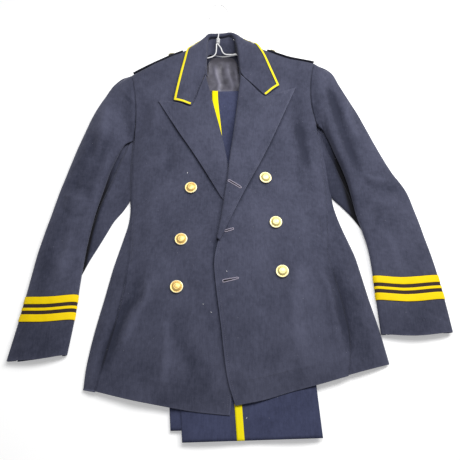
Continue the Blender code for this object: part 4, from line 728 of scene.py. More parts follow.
# The trousers hang folded over the hanger's bar.
BAR_Y, BAR_HEIGHT = 0.334, 0.0122
LEG_THICKNESS = 0.0033
UPPER_LEG_TURN = 0.007
LOWER_LEG_TURN = 0.00335
FOLD_END_Y = 0.311
WAIST_START_Y, WAIST_END_Y = 0.3095, -0.035

# Columns: y, left edge x, right edge x, height of the leg's middle.
UPPER_LEG = ((-0.3835, -0.081, 0.158, 0.0079), (-0.3, -0.089, 0.1525, 0.0085),
    (-0.2, -0.0985, 0.146, 0.012), (-0.11, -0.107, 0.14, 0.0162), (-0.03, -0.115, 0.135, 0.0192),
    (0.1, -0.127, 0.126, 0.0192), (0.22, -0.139, 0.118, 0.0192), (0.334, -0.15, 0.11, 0.0192))
LOWER_LEG = ((-0.365, -0.102, 0.137, 0.0043), (-0.3, -0.108, 0.133, 0.0048), (-0.2, -0.117, 0.127, 0.0084),
    (-0.11, -0.125, 0.122, 0.0126), (-0.03, -0.132, 0.118, 0.01555), (0.1, -0.142, 0.112, 0.01555),
    (0.22, -0.151, 0.106, 0.01555), (0.334, -0.158, 0.102, 0.01555))
LEG_HEM_SLOPE = 0.03
BAR_TURN_ANGLES = (30.0, 60.0, 90.0, 120.0, 150.0, 180.0)

# How cloth folded flat rounds at its edge. Columns: way in from the edge, share of half the thickness.
LEG_EDGE = ((0.0, 0.0), (0.0006, 0.75), (0.003, 1.0))

# The waist half. Columns: y, left edge x, right edge x.
WAIST = ((WAIST_END_Y, -0.163, 0.138), (0.06, -0.166, 0.13), (0.18, -0.16, 0.118),
    (WAIST_START_Y, -0.152, 0.106))

# Where the side stripe lies: row of the leg, share of the way from its left edge to its right one.
STRIPE_PLACE = ((0, 0.413), (4, 0.432), (6, 0.447), (15, 0.447))
WAIST_LOW = 0.0042


def folded_section(left, right, edge, with_middle):
    """A flat folded section: places round it, each with its share of half the thickness."""
    upper = [(left + inset, rise) for inset, rise in edge]
    if with_middle:
        upper.append((0.5 * (left + right), 1.0))
    upper += [(right - inset, rise) for inset, rise in reversed(edge)]
    return upper + [(x, -rise) for x, rise in upper[-2:0:-1]]


def leg_grid(table, turn_radius):
    """A leg pressed flat, open at its hem, that goes up to the bar and round it."""
    rows = []
    half = 0.5 * LEG_THICKNESS
    path = [(y, left, right, z, 0.0) for y, left, right, z in table]
    left, right = table[-1][1], table[-1][2]
    for angle in BAR_TURN_ANGLES:
        a = math.radians(angle)
        y, z = BAR_Y + turn_radius * math.sin(a), BAR_HEIGHT + turn_radius * math.cos(a)
        path.append((y, left, right, z, a))
    path.append((FOLD_END_Y, left, right, BAR_HEIGHT - turn_radius, math.pi))
    for y, left, right, z, angle in path:
        slant = LEG_HEM_SLOPE * smooth(-y / 0.3)
        ring = []
        for x, rise in folded_section(left, right, LEG_EDGE, True):
            off = rise * half
            ring.append((x, y + off * math.sin(angle) + slant * (x - left), z + off * math.cos(angle)))
        rows.append(ring)
    return np.array(rows)


def stripe_grid(leg, place):
    """The side stripe, laid on a leg's upper face: a share of the width on each row."""
    face = normals(leg[:, 2:5])
    half = 0.5 * STRIPE_WIDTH
    rows = []
    for i, share in zip(range(leg.shape[0] - 1), place):
        left, right = leg[i, 2], leg[i, 4]
        middle = left + share * (right - left)
        across = (right - left) / np.linalg.norm(right - left)
        rows.append([middle + across * d + face[i, 1] * SEAM for d in (-half, 0.0, half)])
    return np.array(rows)


# The hanger's wire: its neck, where the arms meet, and how it climbs over the back and the stand.
NECK = (-0.0282, 0.465)
STEM_LEAN = 0.085
CLIMB_Y = 0.439
ARMS_LIFT = 0.09
STEM_LIFT = 0.37
TWIST_RADIUS = 0.0032
TWIST_PITCH = 0.0036
TWIST_TURNS = 3
TWIST_STEPS = 10
HOOK_RADIUS = 0.022
HOOK_MIDDLE = (-0.0268, 0.53)
HOOK_ANGLES = range(210, -61, -18)
STEM = (0.498, 0.484, NECK[1])

# The wire's places, x and y: from the stem along the right arm and round its end to the bar, along the bar,
# and from the bar's left end back along the left arm to the twist.
RIGHT_ARM = ((-0.024, 0.46), (-0.0203, 0.4545), (-0.0178, 0.4475), (-0.0125, 0.4425), (0.001, 0.4412),
    (0.0189, 0.4402), (0.032, 0.4335), (0.06, 0.419), (0.11, 0.393), (0.15, 0.368), (0.16, 0.356),
    (0.161, 0.345), (0.153, 0.336), (0.14, BAR_Y))
BAR = ((0.06, BAR_Y), (-0.03, BAR_Y), (-0.11, BAR_Y), (-0.185, BAR_Y))
LEFT_ARM = ((-0.199, 0.3345), (-0.207, 0.342), (-0.206, 0.353), (-0.197, 0.362), (-0.15, 0.386),
    (-0.1, 0.41), (-0.0567, 0.431), (-0.0465, 0.434), (-0.0378, 0.4378), (-0.0328, 0.444),
    (-0.0316, 0.453), (-0.0312, 0.461))


def stem_x(y):
    """The stem leans a little as it goes up."""
    return NECK[0] + STEM_LEAN * (y - NECK[1])


def wire_height(y):
    """The arms climb gently from the bar, and the stem more steeply over the collar's stand."""
    return BAR_HEIGHT + ARMS_LIFT * (y - BAR_Y) + (STEM_LIFT - ARMS_LIFT) * max(y - CLIMB_Y, 0.0)


# Creases pressed and worn into the cloth.
# Columns: half width left of the line and right of it, height, the places the line goes through.
COAT_CREASES = (
    (0.013, 0.008, -0.0044, ((0.138, 0.2682), (0.1569, 0.1875), (0.1664, 0.1394))),
    (0.006, 0.009, -0.0019, ((0.1384, 0.1519), (0.1459, 0.1005), (0.144, 0.07))),
    (0.007, 0.007, 0.0016, ((0.15, 0.23), (0.169, 0.17), (0.176, 0.12))),
    (0.018, 0.012, 0.0036, ((0.1428, -0.0486), (0.1244, -0.1262), (0.1219, -0.1752), (0.1224, -0.2794))),
    (0.011, 0.018, -0.0064, ((0.1745, -0.0618), (0.2011, -0.1078), (0.2051, -0.1596), (0.2133, -0.2218),
     (0.2211, -0.264))),
    (0.014, 0.008, 0.0044, ((0.165, -0.07), (0.188, -0.12), (0.193, -0.17), (0.202, -0.23), (0.208, -0.27))),
    (0.004, 0.004, -0.0013, ((0.1808, -0.0212), (0.18, 0.0347))),
    (0.014, 0.009, -0.0044, ((-0.1699, -0.0679), (-0.176, -0.1361), (-0.1963, -0.154), (-0.2265, -0.2412),
     (-0.2423, -0.2925))),
    (0.009, 0.014, 0.0036, ((-0.152, -0.09), (-0.158, -0.14), (-0.175, -0.17), (-0.205, -0.25))),
    (0.012, 0.005, 0.0026, ((-0.1299, -0.1636), (-0.1163, -0.1968), (-0.116, -0.2552), (-0.1213, -0.319))),
    (0.016, 0.014, -0.0017, ((-0.1106, -0.2132), (-0.06, -0.25), (-0.007, -0.2927))),
    (0.01, 0.008, -0.0023, ((-0.1263, 0.2066), (-0.1278, 0.1507), (-0.124, 0.115))),
    (0.008, 0.01, -0.0019, ((-0.1692, 0.3124), (-0.186, 0.265), (-0.1933, 0.2191))),
    (0.009, 0.009, 0.0018, ((-0.15, 0.3), (-0.164, 0.25), (-0.168, 0.205))),
    (0.012, 0.012, 0.0016, ((-0.16, 0.1), (-0.155, 0.03), (-0.145, -0.04))),
    (0.01, 0.012, 0.0016, ((0.15, 0.05), (0.142, -0.01), (0.155, -0.07))),
    (0.003, 0.002, 0.0008, ((0.015, -0.286), (0.1094, -0.2654), (0.19, -0.244))),
    (0.002, 0.003, 0.0008, ((-0.22, -0.261), (-0.12, -0.284), (-0.02, -0.299))),
)
SLEEVE_CREASES = (
    (0.009, 0.01, -0.0062, ((0.214, 0.378), (0.223, 0.32), (0.238, 0.25), (0.26, 0.155), (0.28, 0.1))),
    (0.01, 0.012, 0.0034, ((0.252, 0.33), (0.256, 0.26), (0.276, 0.19))),
    (0.008, 0.008, -0.0023, ((0.296, 0.0568), (0.296, 0.03), (0.2899, 0.0043))),
    (0.007, 0.007, 0.002, ((0.26, 0.14), (0.29, 0.115), (0.335, 0.11))),
    (0.008, 0.008, -0.0023, ((0.268, 0.115), (0.3, 0.095), (0.348, 0.092))),
    (0.008, 0.008, 0.002, ((0.275, 0.075), (0.31, 0.06), (0.355, 0.068))),
    (0.01, 0.008, 0.0018, ((0.31, 0.01), (0.318, -0.05), (0.328, -0.1))),
    (0.006, 0.006, 0.0018, ((0.196, 0.39), (0.208, 0.365), (0.215, 0.33))),
    (0.006, 0.005, -0.0015, ((0.188, 0.35), (0.2, 0.325), (0.205, 0.3))),
    (0.008, 0.01, -0.0027, ((-0.2932, 0.2321), (-0.29, 0.195), (-0.2891, 0.1555))),
    (0.01, 0.008, 0.002, ((-0.265, 0.3), (-0.272, 0.24), (-0.268, 0.19))),
    (0.005, 0.005, -0.0017, ((-0.2402, 0.3274), (-0.2233, 0.3086), (-0.2064, 0.2873))),
    (0.005, 0.005, 0.0016, ((-0.245, 0.345), (-0.23, 0.325), (-0.212, 0.305))),
    (0.008, 0.008, -0.0021, ((-0.335, 0.115), (-0.31, 0.095), (-0.275, 0.095))),
    (0.008, 0.008, 0.002, ((-0.342, 0.09), (-0.315, 0.07), (-0.282, 0.065))),
    (0.009, 0.009, -0.0015, ((-0.35, 0.06), (-0.32, 0.035), (-0.285, 0.03))),
    (0.01, 0.01, 0.0018, ((-0.31, 0.01), (-0.32, -0.06), (-0.33, -0.13))),
)
LEG_CREASES = (
    (0.006, 0.006, 0.001, ((0.03, -0.3), (0.04, -0.35), (0.038, -0.386))),
    (0.005, 0.005, 0.001, ((0.115, -0.3), (0.11, -0.34), (0.122, -0.386))),
    (0.004, 0.004, 0.0008, ((-0.04, -0.31), (-0.045, -0.35), (-0.03, -0.386))),
    (0.006, 0.005, 0.0008, ((0.005, 0.32), (0.008, 0.27), (-0.002, 0.22))),
)
LINING_CREASES = (
    (0.006, 0.004, 0.0032, ((-0.035, 0.425), (-0.033, 0.4), (-0.025, 0.37), (-0.028, 0.34))),
    (0.005, 0.006, 0.0028, ((-0.008, 0.43), (-0.004, 0.4), (0.006, 0.37), (0.004, 0.34))),
    (0.004, 0.005, -0.0013, ((-0.02, 0.425), (-0.018, 0.395), (-0.01, 0.365))),
    (0.006, 0.004, 0.0024, ((0.01, 0.42), (0.015, 0.39), (0.02, 0.36))),
    (0.005, 0.005, 0.002, ((-0.04, 0.36), (-0.02, 0.35), (0.01, 0.352))),
)
# Painted shade: bands painted darker where folds fall in shade, and a few painted lighter where they catch
# the light.
# Columns: half width left and right of the line, how much lighter, the places the line goes through.
COAT_SHADES = (
    (0.016, 0.014, -0.5, ((0.138, 0.43), (0.145, 0.31), (0.1533, 0.2095), (0.1643, 0.1128), (0.1728, 0.0))),
    (0.014, 0.024, -0.55, ((0.19, -0.02), (0.2217, -0.1195), (0.2402, -0.1947), (0.264, -0.29))),
    (0.008, 0.007, -0.25, ((0.1315, -0.1), (0.1274, -0.1947), (0.12, -0.2654), (0.1212, -0.32))),
    (0.018, 0.012, -0.45, ((-0.1719, -0.06), (-0.196, -0.1577), (-0.2186, -0.2306), (-0.24, -0.31))),
    (0.012, 0.012, -0.3, ((-0.125, -0.15), (-0.0711, -0.2564), (-0.026, -0.3154), (0.004, -0.34))),
    (0.018, 0.018, 0.22, ((0.156, -0.08), (0.16, -0.17), (0.158, -0.27))),
    (0.03, 0.03, -0.25, ((-0.21, -0.26), (-0.12, -0.295), (-0.02, -0.315))),
    (0.016, 0.012, -0.35, ((0.2082, 0.16), (0.2108, 0.069), (0.2124, -0.0077), (0.2273, -0.08))),
    (0.03, 0.012, 0.14, ((0.04, 0.06), (0.06, -0.04), (0.06, -0.15))),
)
SLEEVE_SHADES = (
    (0.01, 0.013, -0.75, ((0.188, 0.41), (0.186, 0.3272), (0.1901, 0.2476), (0.2091, 0.1603),
     (0.2341, 0.0897), (0.26, 0.01))),
    (0.009, 0.009, -0.35, ((0.218, 0.36), (0.23, 0.3), (0.245, 0.24))),
    (0.018, 0.016, -0.45, ((-0.28, 0.29), (-0.3146, 0.1167), (-0.3383, 0.0151), (-0.3545, -0.079),
     (-0.37, -0.22))),
    (0.01, 0.01, -0.35, ((-0.248, 0.25), (-0.2777, 0.1364), (-0.295, 0.04))),
    (0.008, 0.01, -0.45, ((-0.2282, 0.37), (-0.22, 0.2868), (-0.213, 0.2095), (-0.21, 0.18))),
    (0.05, 0.05, -0.45, ((-0.43, -0.25), (-0.3448, -0.2203), (-0.25, -0.19))),
    (0.04, 0.04, -0.22, ((0.24, -0.185), (0.34, -0.185), (0.44, -0.18))),
)

# Long swells. Columns: turns across, turns along, where it starts, height.
SWELLS = ((31.0, 12.0, 0.4, 0.00045), (-17.0, 27.0, 1.9, 0.0004), (52.0, -21.0, 3.1, 0.0003),
    (23.0, 61.0, 5.0, 0.00022))
PUCKER_HEIGHT = 0.0011
PUCKER_SCALE = (21.0, 13.0)

# How deep a trough may be: over the folded trousers, and how much more beside them.
ROOM_OVER_TROUSERS = 0.0021
ROOM_BESIDE = 0.004
TROUSERS_LEFT, TROUSERS_RIGHT, TROUSERS_TOP = -0.168, 0.141, 0.335


# The share of a crease's length over which it dies out at each end.
CREASE_FADE = 0.3


def crease_height(x, y, rows):
    """Height of creases that each follow a line of places and die out at its ends."""
    z = np.zeros_like(x)
    for left, right, height, line in rows:
        places = np.array(line)
        steps = np.linalg.norm(np.diff(places, axis=0), axis=1)
        starts = np.concatenate([[0.0], np.cumsum(steps)])
        nearest = np.full(x.shape, 9.0)
        share = np.zeros_like(x)
        side = np.zeros_like(x)
        for k, step in enumerate(steps):
            (ax, ay), (bx, by) = places[k], places[k + 1]
            t = np.clip(((x - ax) * (bx - ax) + (y - ay) * (by - ay)) / step**2, 0.0, 1.0)
            away = np.hypot(x - ax - t * (bx - ax), y - ay - t * (by - ay))
            closer = away < nearest
            nearest = np.where(closer, away, nearest)
            share = np.where(closer, (starts[k] + t * step) / starts[-1], share)
            side = np.where(closer, (x - ax) * (by - ay) - (y - ay) * (bx - ax), side)
        width = np.where(side > 0.0, right, left)
        fade = smooth(share / CREASE_FADE) * smooth((1.0 - share) / CREASE_FADE)
        z += height * fade * np.exp(-(nearest / width) ** 2)
    return z


def swell_height(x, y):
    """The slight unevenness of cloth that lies by its own weight: long swells, with small puckers in them."""
    long = sum(height * np.sin(a * x + b * y + turn) for a, b, turn, height in SWELLS)
    across, along = PUCKER_SCALE
    small = [noise.fractal(Vector((across * u + 7.0, along * v, 3.0)), 0.9, 2.1, 3)
             for u, v in zip(np.ravel(x), np.ravel(y))]
    return long + PUCKER_HEIGHT * np.array(small).reshape(np.shape(x))


# The calm place about the neck: how high up it starts, half its width and its middle. Then, by the hem, how
# much less room there is over the legs, and from where.
CALM_FROM, CALM_HALF_WIDTH, CALM_MIDDLE = 0.38, 0.115, -0.018
LESS_ROOM, LESS_ROOM_FROM = 0.0013, -0.17


def cloth_rise(x, y, creases, swell):
    """How far the cloth stands above its plain form, flat by the neck and no deeper than there is room."""
    calm = 1.0 - smooth((y - CALM_FROM) / 0.035) * smooth((CALM_HALF_WIDTH - np.abs(x - CALM_MIDDLE)) / 0.03)
    beside = np.maximum(smooth((TROUSERS_LEFT - x) / 0.02), smooth((x - TROUSERS_RIGHT) / 0.02))
    room = ROOM_OVER_TROUSERS + ROOM_BESIDE * np.maximum(beside, smooth((y - TROUSERS_TOP) / 0.02))
    room -= LESS_ROOM * smooth((LESS_ROOM_FROM - y) / 0.08) * (1.0 - beside)
    rise = crease_height(x, y, creases) + swell * swell_height(x, y)
    return calm * np.where(rise < 0.0, room * np.tanh(rise / room), rise)


def through(grid, at, run):
    """A smooth line through a grid's rows, read at distances along it."""
    gaps = np.diff(run)[:, None, None]
    slopes = np.diff(grid, axis=0) / gaps
    inner = (slopes[:-1] * gaps[1:] + slopes[1:] * gaps[:-1]) / (gaps[:-1] + gaps[1:])
    tangents = np.concatenate([slopes[:1], inner, slopes[-1:]])
    k = np.clip(np.searchsorted(run, at, side="right") - 1, 0, len(run) - 2)
    gap = (run[k + 1] - run[k])[:, None, None]
    t = ((at - run[k])[:, None, None]) / gap
    return ((2 * t**3 - 3 * t**2 + 1) * grid[k] + (t**3 - 2 * t**2 + t) * gap * tangents[k]
            + (3 * t**2 - 2 * t**3) * grid[k + 1] + (t**3 - t**2) * gap * tangents[k + 1])


def runs(grid):
    """Mean distance of each row from the first one, along the cloth."""
    gaps = np.linalg.norm(np.diff(grid, axis=0), axis=2).mean(axis=1)
    return np.concatenate([[0.0], np.cumsum(np.maximum(gaps, 0.00002))])


EDGE_STEPS = (0.0005, 0.0013, 0.0024)


def finer_places(run, step, edge_start, edge_end):
    """Distances for a finer grid's rows, with some close to a free edge."""
    at = [run[0]]
    for low, high in zip(run, run[1:]):
        count = max(1, round((high - low) / step))
        at.extend(low + (high - low) * np.arange(1, count + 1) / count)
    at = np.array(at)
    if edge_start:
        at = np.concatenate([run[:1], run[0] + np.array(EDGE_STEPS), at[at > run[0] + 0.0034]])
    if edge_end:
        at = np.concatenate([at[at < run[-1] - 0.0034], run[-1] - np.array(EDGE_STEPS[::-1]), run[-1:]])
    return at


def finer(grid, step, edges, ring=False):
    """A finer grid, and the first one's row and column numbers for each of its own rows and columns."""
    run = runs(grid)
    at = finer_places(run, step, "b" in edges, "t" in edges)
    row_at = np.interp(at, run, np.arange(len(run)))
    across = np.swapaxes(through(grid, at, run), 0, 1)
    if ring:
        closed = np.concatenate([across[-2:], across, across[:3]])
        run = runs(closed)
        at = finer_places(run[2:-2], step, False, False)[:-1]
        column_at = np.interp(at, run[2:-2], np.arange(len(run) - 4))
        return np.swapaxes(through(closed, at, run), 0, 1), row_at, column_at
    run = runs(across)
    at = finer_places(run, step, "l" in edges, "r" in edges)
    column_at = np.interp(at, run, np.arange(len(run)))
    return np.swapaxes(through(across, at, run), 0, 1), row_at, column_at


# The sides of a grid: its first and last row, and its first and last column.
SIDES = {"b": lambda grid: grid, "t": lambda grid: grid[::-1],
         "l": lambda grid: np.swapaxes(grid, 0, 1), "r": lambda grid: np.swapaxes(grid, 0, 1)[::-1]}


def rolled(grid, edges, depth, up=True):
    """Turns a grid's free edges down, as a pressed and stitched edge does."""
    moved = grid.copy()
    for side in edges:
        lines, face = SIDES[side](moved), SIDES[side](normals(grid, up))
        for number, share in enumerate((1.0, 0.34, 0.08)):
            lines[number] -= depth * share * face[number]
    return moved


# How far a seamed edge reaches into the gap, and how deep the groove of the seam is.
SEAM_REACH = 0.00038
SEAM_DIP = 0.0006


def seamed(grid, edges, up=True):
    """Brings a panel's seamed edges to the next piece's, in a shallow groove."""
    moved = grid.copy()
    for side in edges:
        lines, face, flat = SIDES[side](moved), SIDES[side](normals(grid, up)), SIDES[side](grid)
        out = flat[0] - flat[1]
        out /= np.linalg.norm(out, axis=1)[:, None]
        lines[0] += SEAM_REACH * out - SEAM_DIP * face[0]
        lines[1] -= 0.45 * SEAM_DIP * face[1]
        lines[2] -= 0.1 * SEAM_DIP * face[2]
    return moved


# How far a sleeve's head goes in under the armhole's edge, and how deep it lies on its first rows.
HEAD_REACH = 0.003
HEAD_DEPTHS = (0.0027, 0.0012, 0.0005, 0.0002)


def set_in(grid, deep):
    """Rounds a sleeve's head down and in under the edge of the armhole."""
    face, moved = normals(grid), grid.copy()
    out = grid[0] - grid[1]
    out /= np.linalg.norm(out, axis=1)[:, None]
    moved[0] += HEAD_REACH * out
    for number, depth in enumerate(HEAD_DEPTHS):
        moved[number] -= deep * depth * face[number]
    return moved


def near_edges(grid, edges, width):
    """How close each place lies to the named edges: 1 at an edge, fading over a width."""
    near = np.zeros(grid.shape[:2])
    for side in edges:
        run = runs(SIDES[side](grid))
        SIDES[side](near)[:] = np.maximum(SIDES[side](near), np.exp(-(run / width) ** 2)[:, None])
    return near


# Materials.

def add(tree, kind, values=None, links=None, **settings):
    """A shader node with its values and links."""
    made = tree.nodes.new(kind)
    for key, value in settings.items():
        setattr(made, key, value)
    for key, value in (values or {}).items():
        made.inputs[key].default_value = value
    for key, source in (links or {}).items():
        tree.links.new(source, made.inputs[key])
    return made


def blank(name):
    """A new material with its tree and shader."""
    material = bpy.data.materials.new(name)
    material.use_nodes = True
    return material, material.node_tree, material.node_tree.nodes["Principled BSDF"]


def on_object(tree):
    """Places on the object, in metres."""
    return add(tree, "ShaderNodeTexCoord").outputs["Object"]


def cloudy(tree, place, scale, detail=3.0, roughness=0.6):
    """Soft uneven noise."""
    return add(tree, "ShaderNodeTexNoise", {"Scale": scale, "Detail": detail, "Roughness": roughness},
               {"Vector": place}).outputs["Fac"]


def woven(tree, place, scale, distortion, detail, detail_scale):
    """Fine parallel ribs."""
    return add(tree, "ShaderNodeTexWave", {"Scale": scale, "Distortion": distortion, "Detail": detail,
                                           "Detail Scale": detail_scale}, {"Vector": place}).outputs["Fac"]


def uneven_roughness(tree, shader, marks, low, high):
    """Lets marks vary the roughness between two values."""
    uneven = add(tree, "ShaderNodeMapRange", {"To Min": low, "To Max": high}, {"Value": marks})
    tree.links.new(uneven.outputs[0], shader.inputs["Roughness"])


def finish_shader(tree, shader, colour, raised, strength, depth):
    """Puts a colour and a fine bump on a shader."""
    tree.links.new(colour, shader.inputs["Base Color"])
    bump = add(tree, "ShaderNodeBump", {"Strength": strength, "Distance": depth}, {"Height": raised})
    tree.links.new(bump.outputs[0], shader.inputs["Normal"])


def math_node(tree, operation, first, second):
    """One sum or product of two values, each a socket or a number."""
    made = tree.nodes.new("ShaderNodeMath")
    made.operation = operation
    for socket, value in zip(made.inputs, (first, second)):
        if isinstance(value, (int, float)):
            socket.default_value = value
        else:
            tree.links.new(value, socket)
    return made.outputs[0]


def tint(tree, factor, first, second):
    """A colour between two others."""
    made = tree.nodes.new("ShaderNodeMix")
    made.data_type = "RGBA"
    if isinstance(factor, (int, float)):
        made.inputs[0].default_value = factor
    else:
        tree.links.new(factor, made.inputs[0])
    for socket, value in ((made.inputs[6], first), (made.inputs[7], second)):
        if isinstance(value, tuple):
            socket.default_value = (*value, 1.0)
        else:
            tree.links.new(value, socket)
    return made.outputs[2]


def spread_out(tree, value, low, high):
    """Stretches a noise's middle range to 0 to 1."""
    return add(tree, "ShaderNodeMapRange", {"From Min": low, "From Max": high}, {"Value": value}).outputs[0]


def weighed(tree, parts):
    """A sum of values, each times its weight."""
    total = 0.0
    for value, weight in parts:
        total = math_node(tree, "ADD", math_node(tree, "MULTIPLY", value, weight), total)
    return total


def relief(tree):
    """Painted shade kept on the cloth: above 0 on ridges, on painted light bands and along free edges, below
    0 in troughs, painted shade bands, painted shadow lines and seams.
    """
    return add(tree, "ShaderNodeAttribute", attribute_name="relief").outputs["Fac"]


DEEP_SHADOW = (0.003, 0.003, 0.005)
LINT_COLOUR = (0.42, 0.42, 0.47)
LINT_SIZE = 0.085


def wool(name, dark, light, twill_scale, sheen, lint):
    """Woven wool: a steep twill under a short nap, uneven dye and rubbing, a little lint, and the painted
    shade kept on the cloth: ridges painted lighter, troughs and shade bands painted darker, the deepest
    painted shadow near black.
    """
    material, tree, shader = blank(name)
    place = on_object(tree)
    turned = add(tree, "ShaderNodeMapping", {"Rotation": (0.0, 0.0, math.radians(27.0))}, {"Vector": place})
    twill = woven(tree, turned.outputs[0], twill_scale, 1.2, 1.0, 1.5)
    nap = cloudy(tree, place, 1500.0, 3.0, 0.65)
    dye = cloudy(tree, place, 19.0, 5.0)
    rubbed = cloudy(tree, place, 150.0, 4.0, 0.65)
    long = add(tree, "ShaderNodeMapping", {"Scale": (1.0, 0.16, 1.0)}, {"Vector": place}).outputs[0]
    brushed = cloudy(tree, long, 420.0)
    # The colour moves with the painted shade kept on the cloth, as well as with its twill, nap, dye and
    # rubbing.
    share = weighed(tree, (
        (twill, 0.16), (spread_out(tree, nap, 0.3, 0.7), 0.2), (spread_out(tree, dye, 0.36, 0.64), 0.26),
        (spread_out(tree, rubbed, 0.36, 0.64), 0.2), (spread_out(tree, brushed, 0.34, 0.66), 0.18),
        (relief(tree), 0.55)))
    colour = tint(tree, share, dark, light)
    # Painted shadow: past the darkest painted shade the colour goes on towards near black.
    colour = tint(tree, spread_out(tree, relief(tree), -0.9, -1.8), colour, DEEP_SHADOW)
    specks = add(tree, "ShaderNodeTexVoronoi", {"Scale": 190.0, "Randomness": 1.0}, {"Vector": place})
    small = math_node(tree, "LESS_THAN", specks.outputs["Distance"], LINT_SIZE)
    chosen = add(tree, "ShaderNodeSeparateColor", None, {"Color": specks.outputs["Color"]}).outputs[0]
    few = math_node(tree, "GREATER_THAN", chosen, 1.0 - lint)
    fluff = math_node(tree, "MULTIPLY", math_node(tree, "MULTIPLY", small, few), 0.55)
    raised = weighed(tree, ((twill, 0.5), (nap, 1.0), (rubbed, 1.6)))
    finish_shader(tree, shader, tint(tree, fluff, colour, LINT_COLOUR), raised, 0.65, 0.00028)
    uneven_roughness(tree, shader, rubbed, 0.78, 0.95)
    shader.inputs["Sheen Weight"].default_value = sheen
    shader.inputs["Sheen Roughness"].default_value = 0.45
    shader.inputs["Sheen Tint"].default_value = (0.62, 0.64, 0.8, 1.0)
    shader.inputs["Specular IOR Level"].default_value = 0.25
    return material


def braid(name, dark, light):
    """Flat woven braid: chevron ribs across it, on its own UV map in metres."""
    material, tree, shader = blank(name)
    place = add(tree, "ShaderNodeUVMap", uv_map="cloth").outputs[0]
    across, along = add(tree, "ShaderNodeSeparateXYZ", None, {"Vector": place}).outputs[:2]
    wave = math_node(tree, "SINE", math_node(tree, "MULTIPLY", across, 1050.0), 0.0)
    lean = math_node(tree, "ABSOLUTE", wave, 0.0)
    turn = weighed(tree, ((along, 4200.0), (lean, 2.6)))
    rib = math_node(tree, "MULTIPLY", math_node(tree, "ADD", math_node(tree, "SINE", turn, 0.0), 1.0), 0.5)
    thread = cloudy(tree, place, 2600.0, 2.0, 0.5)
    soiled = cloudy(tree, place, 90.0, 4.0, 0.5)
    colour = tint(tree, weighed(tree, ((rib, 0.55), (soiled, 0.45))), dark, light)
    raised = weighed(tree, ((rib, 1.0), (thread, 0.5)))
    finish_shader(tree, shader, colour, raised, 0.6, 0.0003)
    uneven_roughness(tree, shader, thread, 0.42, 0.62)
    shader.inputs["Specular IOR Level"].default_value = 0.12
    return material


def plain(name, dark, light, grain, roughness, depth, metallic=0.0, sheen=0.0):
    """A smooth material, cloudy between two colours: gilt, wire coat or sewing thread."""
    material, tree, shader = blank(name)
    marks = cloudy(tree, on_object(tree), grain, 5.0)
    colour = tint(tree, spread_out(tree, marks, 0.3, 0.7), dark, light)
    finish_shader(tree, shader, colour, marks, 0.3, depth)
    uneven_roughness(tree, shader, marks, roughness - 0.08, roughness + 0.14)
    shader.inputs["Metallic"].default_value = metallic
    shader.inputs["Sheen Weight"].default_value = sheen
    return material


def satin(name, dark, light):
    """Lining satin: a smooth, softly shining weave, with the painted shade and light kept on the cloth."""
    material, tree, shader = blank(name)
    place = on_object(tree)
    weave = woven(tree, place, 520.0, 0.5, 2.0, 1.0)
    uneven = spread_out(tree, cloudy(tree, place, 60.0, 4.0, 0.5), 0.3, 0.7)
    share = weighed(tree, ((weave, 0.15), (uneven, 0.45), (relief(tree), 1.0)))
    finish_shader(tree, shader, tint(tree, share, dark, light), weave, 0.3, 0.00012)
    shader.inputs["Roughness"].default_value = 0.42
    shader.inputs["Sheen Weight"].default_value = 0.35
    return material


THREAD = {"grain": 1900.0, "roughness": 0.6, "depth": 0.0002, "sheen": 0.2}
GILT = {"grain": 260.0, "depth": 0.0001, "metallic": 0.55}

COAT_WOOL = wool("navy_coat_wool", (0.0235, 0.0265, 0.048), (0.088, 0.093, 0.144), 285.0, 0.25, 0.05)
STRAP_WOOL = wool("navy_strap_wool", (0.006, 0.007, 0.013), (0.024, 0.026, 0.04), 285.0, 0.05, 0.02)
TROUSER_WOOL = wool("navy_trouser_twill", (0.024, 0.028, 0.062), (0.072, 0.083, 0.162), 340.0, 0.15, 0.03)
YELLOW_BRAID = braid("yellow_braid", (0.97, 0.76, 0.0), (1.0, 0.9, 0.004))
CUFF_YELLOW = braid("cuff_yellow_braid", (1.0, 0.62, 0.0), (1.0, 0.8, 0.002))
COLLAR_YELLOW = braid("collar_yellow_braid", (0.9, 0.7, 0.004), (1.0, 0.9, 0.05))
BRAID_TAPE = wool("dark_braid_tape", (0.022, 0.013, 0.013), (0.06, 0.038, 0.034), 285.0, 0.05, 0.0)
NECK_SATIN = satin("neck_lining_satin", (0.04, 0.037, 0.052), (0.19, 0.185, 0.24))
PALE_GILT = plain("pale_gilt", (0.98, 0.78, 0.28), (1.0, 0.9, 0.42), roughness=0.4, **GILT)
# The same gilt painted darker, as shade, for the buttons of the left front.
SHADED_GILT = plain("gilt_painted_shade", (0.95, 0.58, 0.15), (1.0, 0.76, 0.3), roughness=0.4, **GILT)
RIM_GILT = plain("rim_gilt", (0.98, 0.84, 0.48), (1.0, 0.96, 0.72), roughness=0.36, **GILT)
WIRE_COAT = plain("white_wire_coat", (0.78, 0.78, 0.79), (0.94, 0.94, 0.94), 190.0, 0.34, 0.0001)
EDGE_THREAD = plain("navy_edge_thread", (0.066, 0.07, 0.104), (0.16, 0.165, 0.225), **THREAD)
SEAM_THREAD = plain("dark_seam_thread", (0.01, 0.011, 0.019), (0.031, 0.033, 0.05), **THREAD)
BUTTONHOLE_THREAD = plain("lilac_buttonhole_thread", (0.26, 0.23, 0.3), (0.48, 0.44, 0.54), **THREAD)
HOLE_SHADOW = plain("buttonhole_slit_painted_shadow", (0.003, 0.003, 0.005), (0.008, 0.008, 0.012), 1900.0, 0.8, 0.0002)
STRAP_GOLD = plain("gold_strap_piping", (0.48, 0.33, 0.13), (0.8, 0.62, 0.3), 900.0, 0.6, 0.0002, 0.0, 0.2)
LINT = plain("pale_lint", (0.55, 0.55, 0.58), (0.85, 0.85, 0.88), 1900.0, 0.8, 0.0002, 0.0, 0.2)


# Pieces.

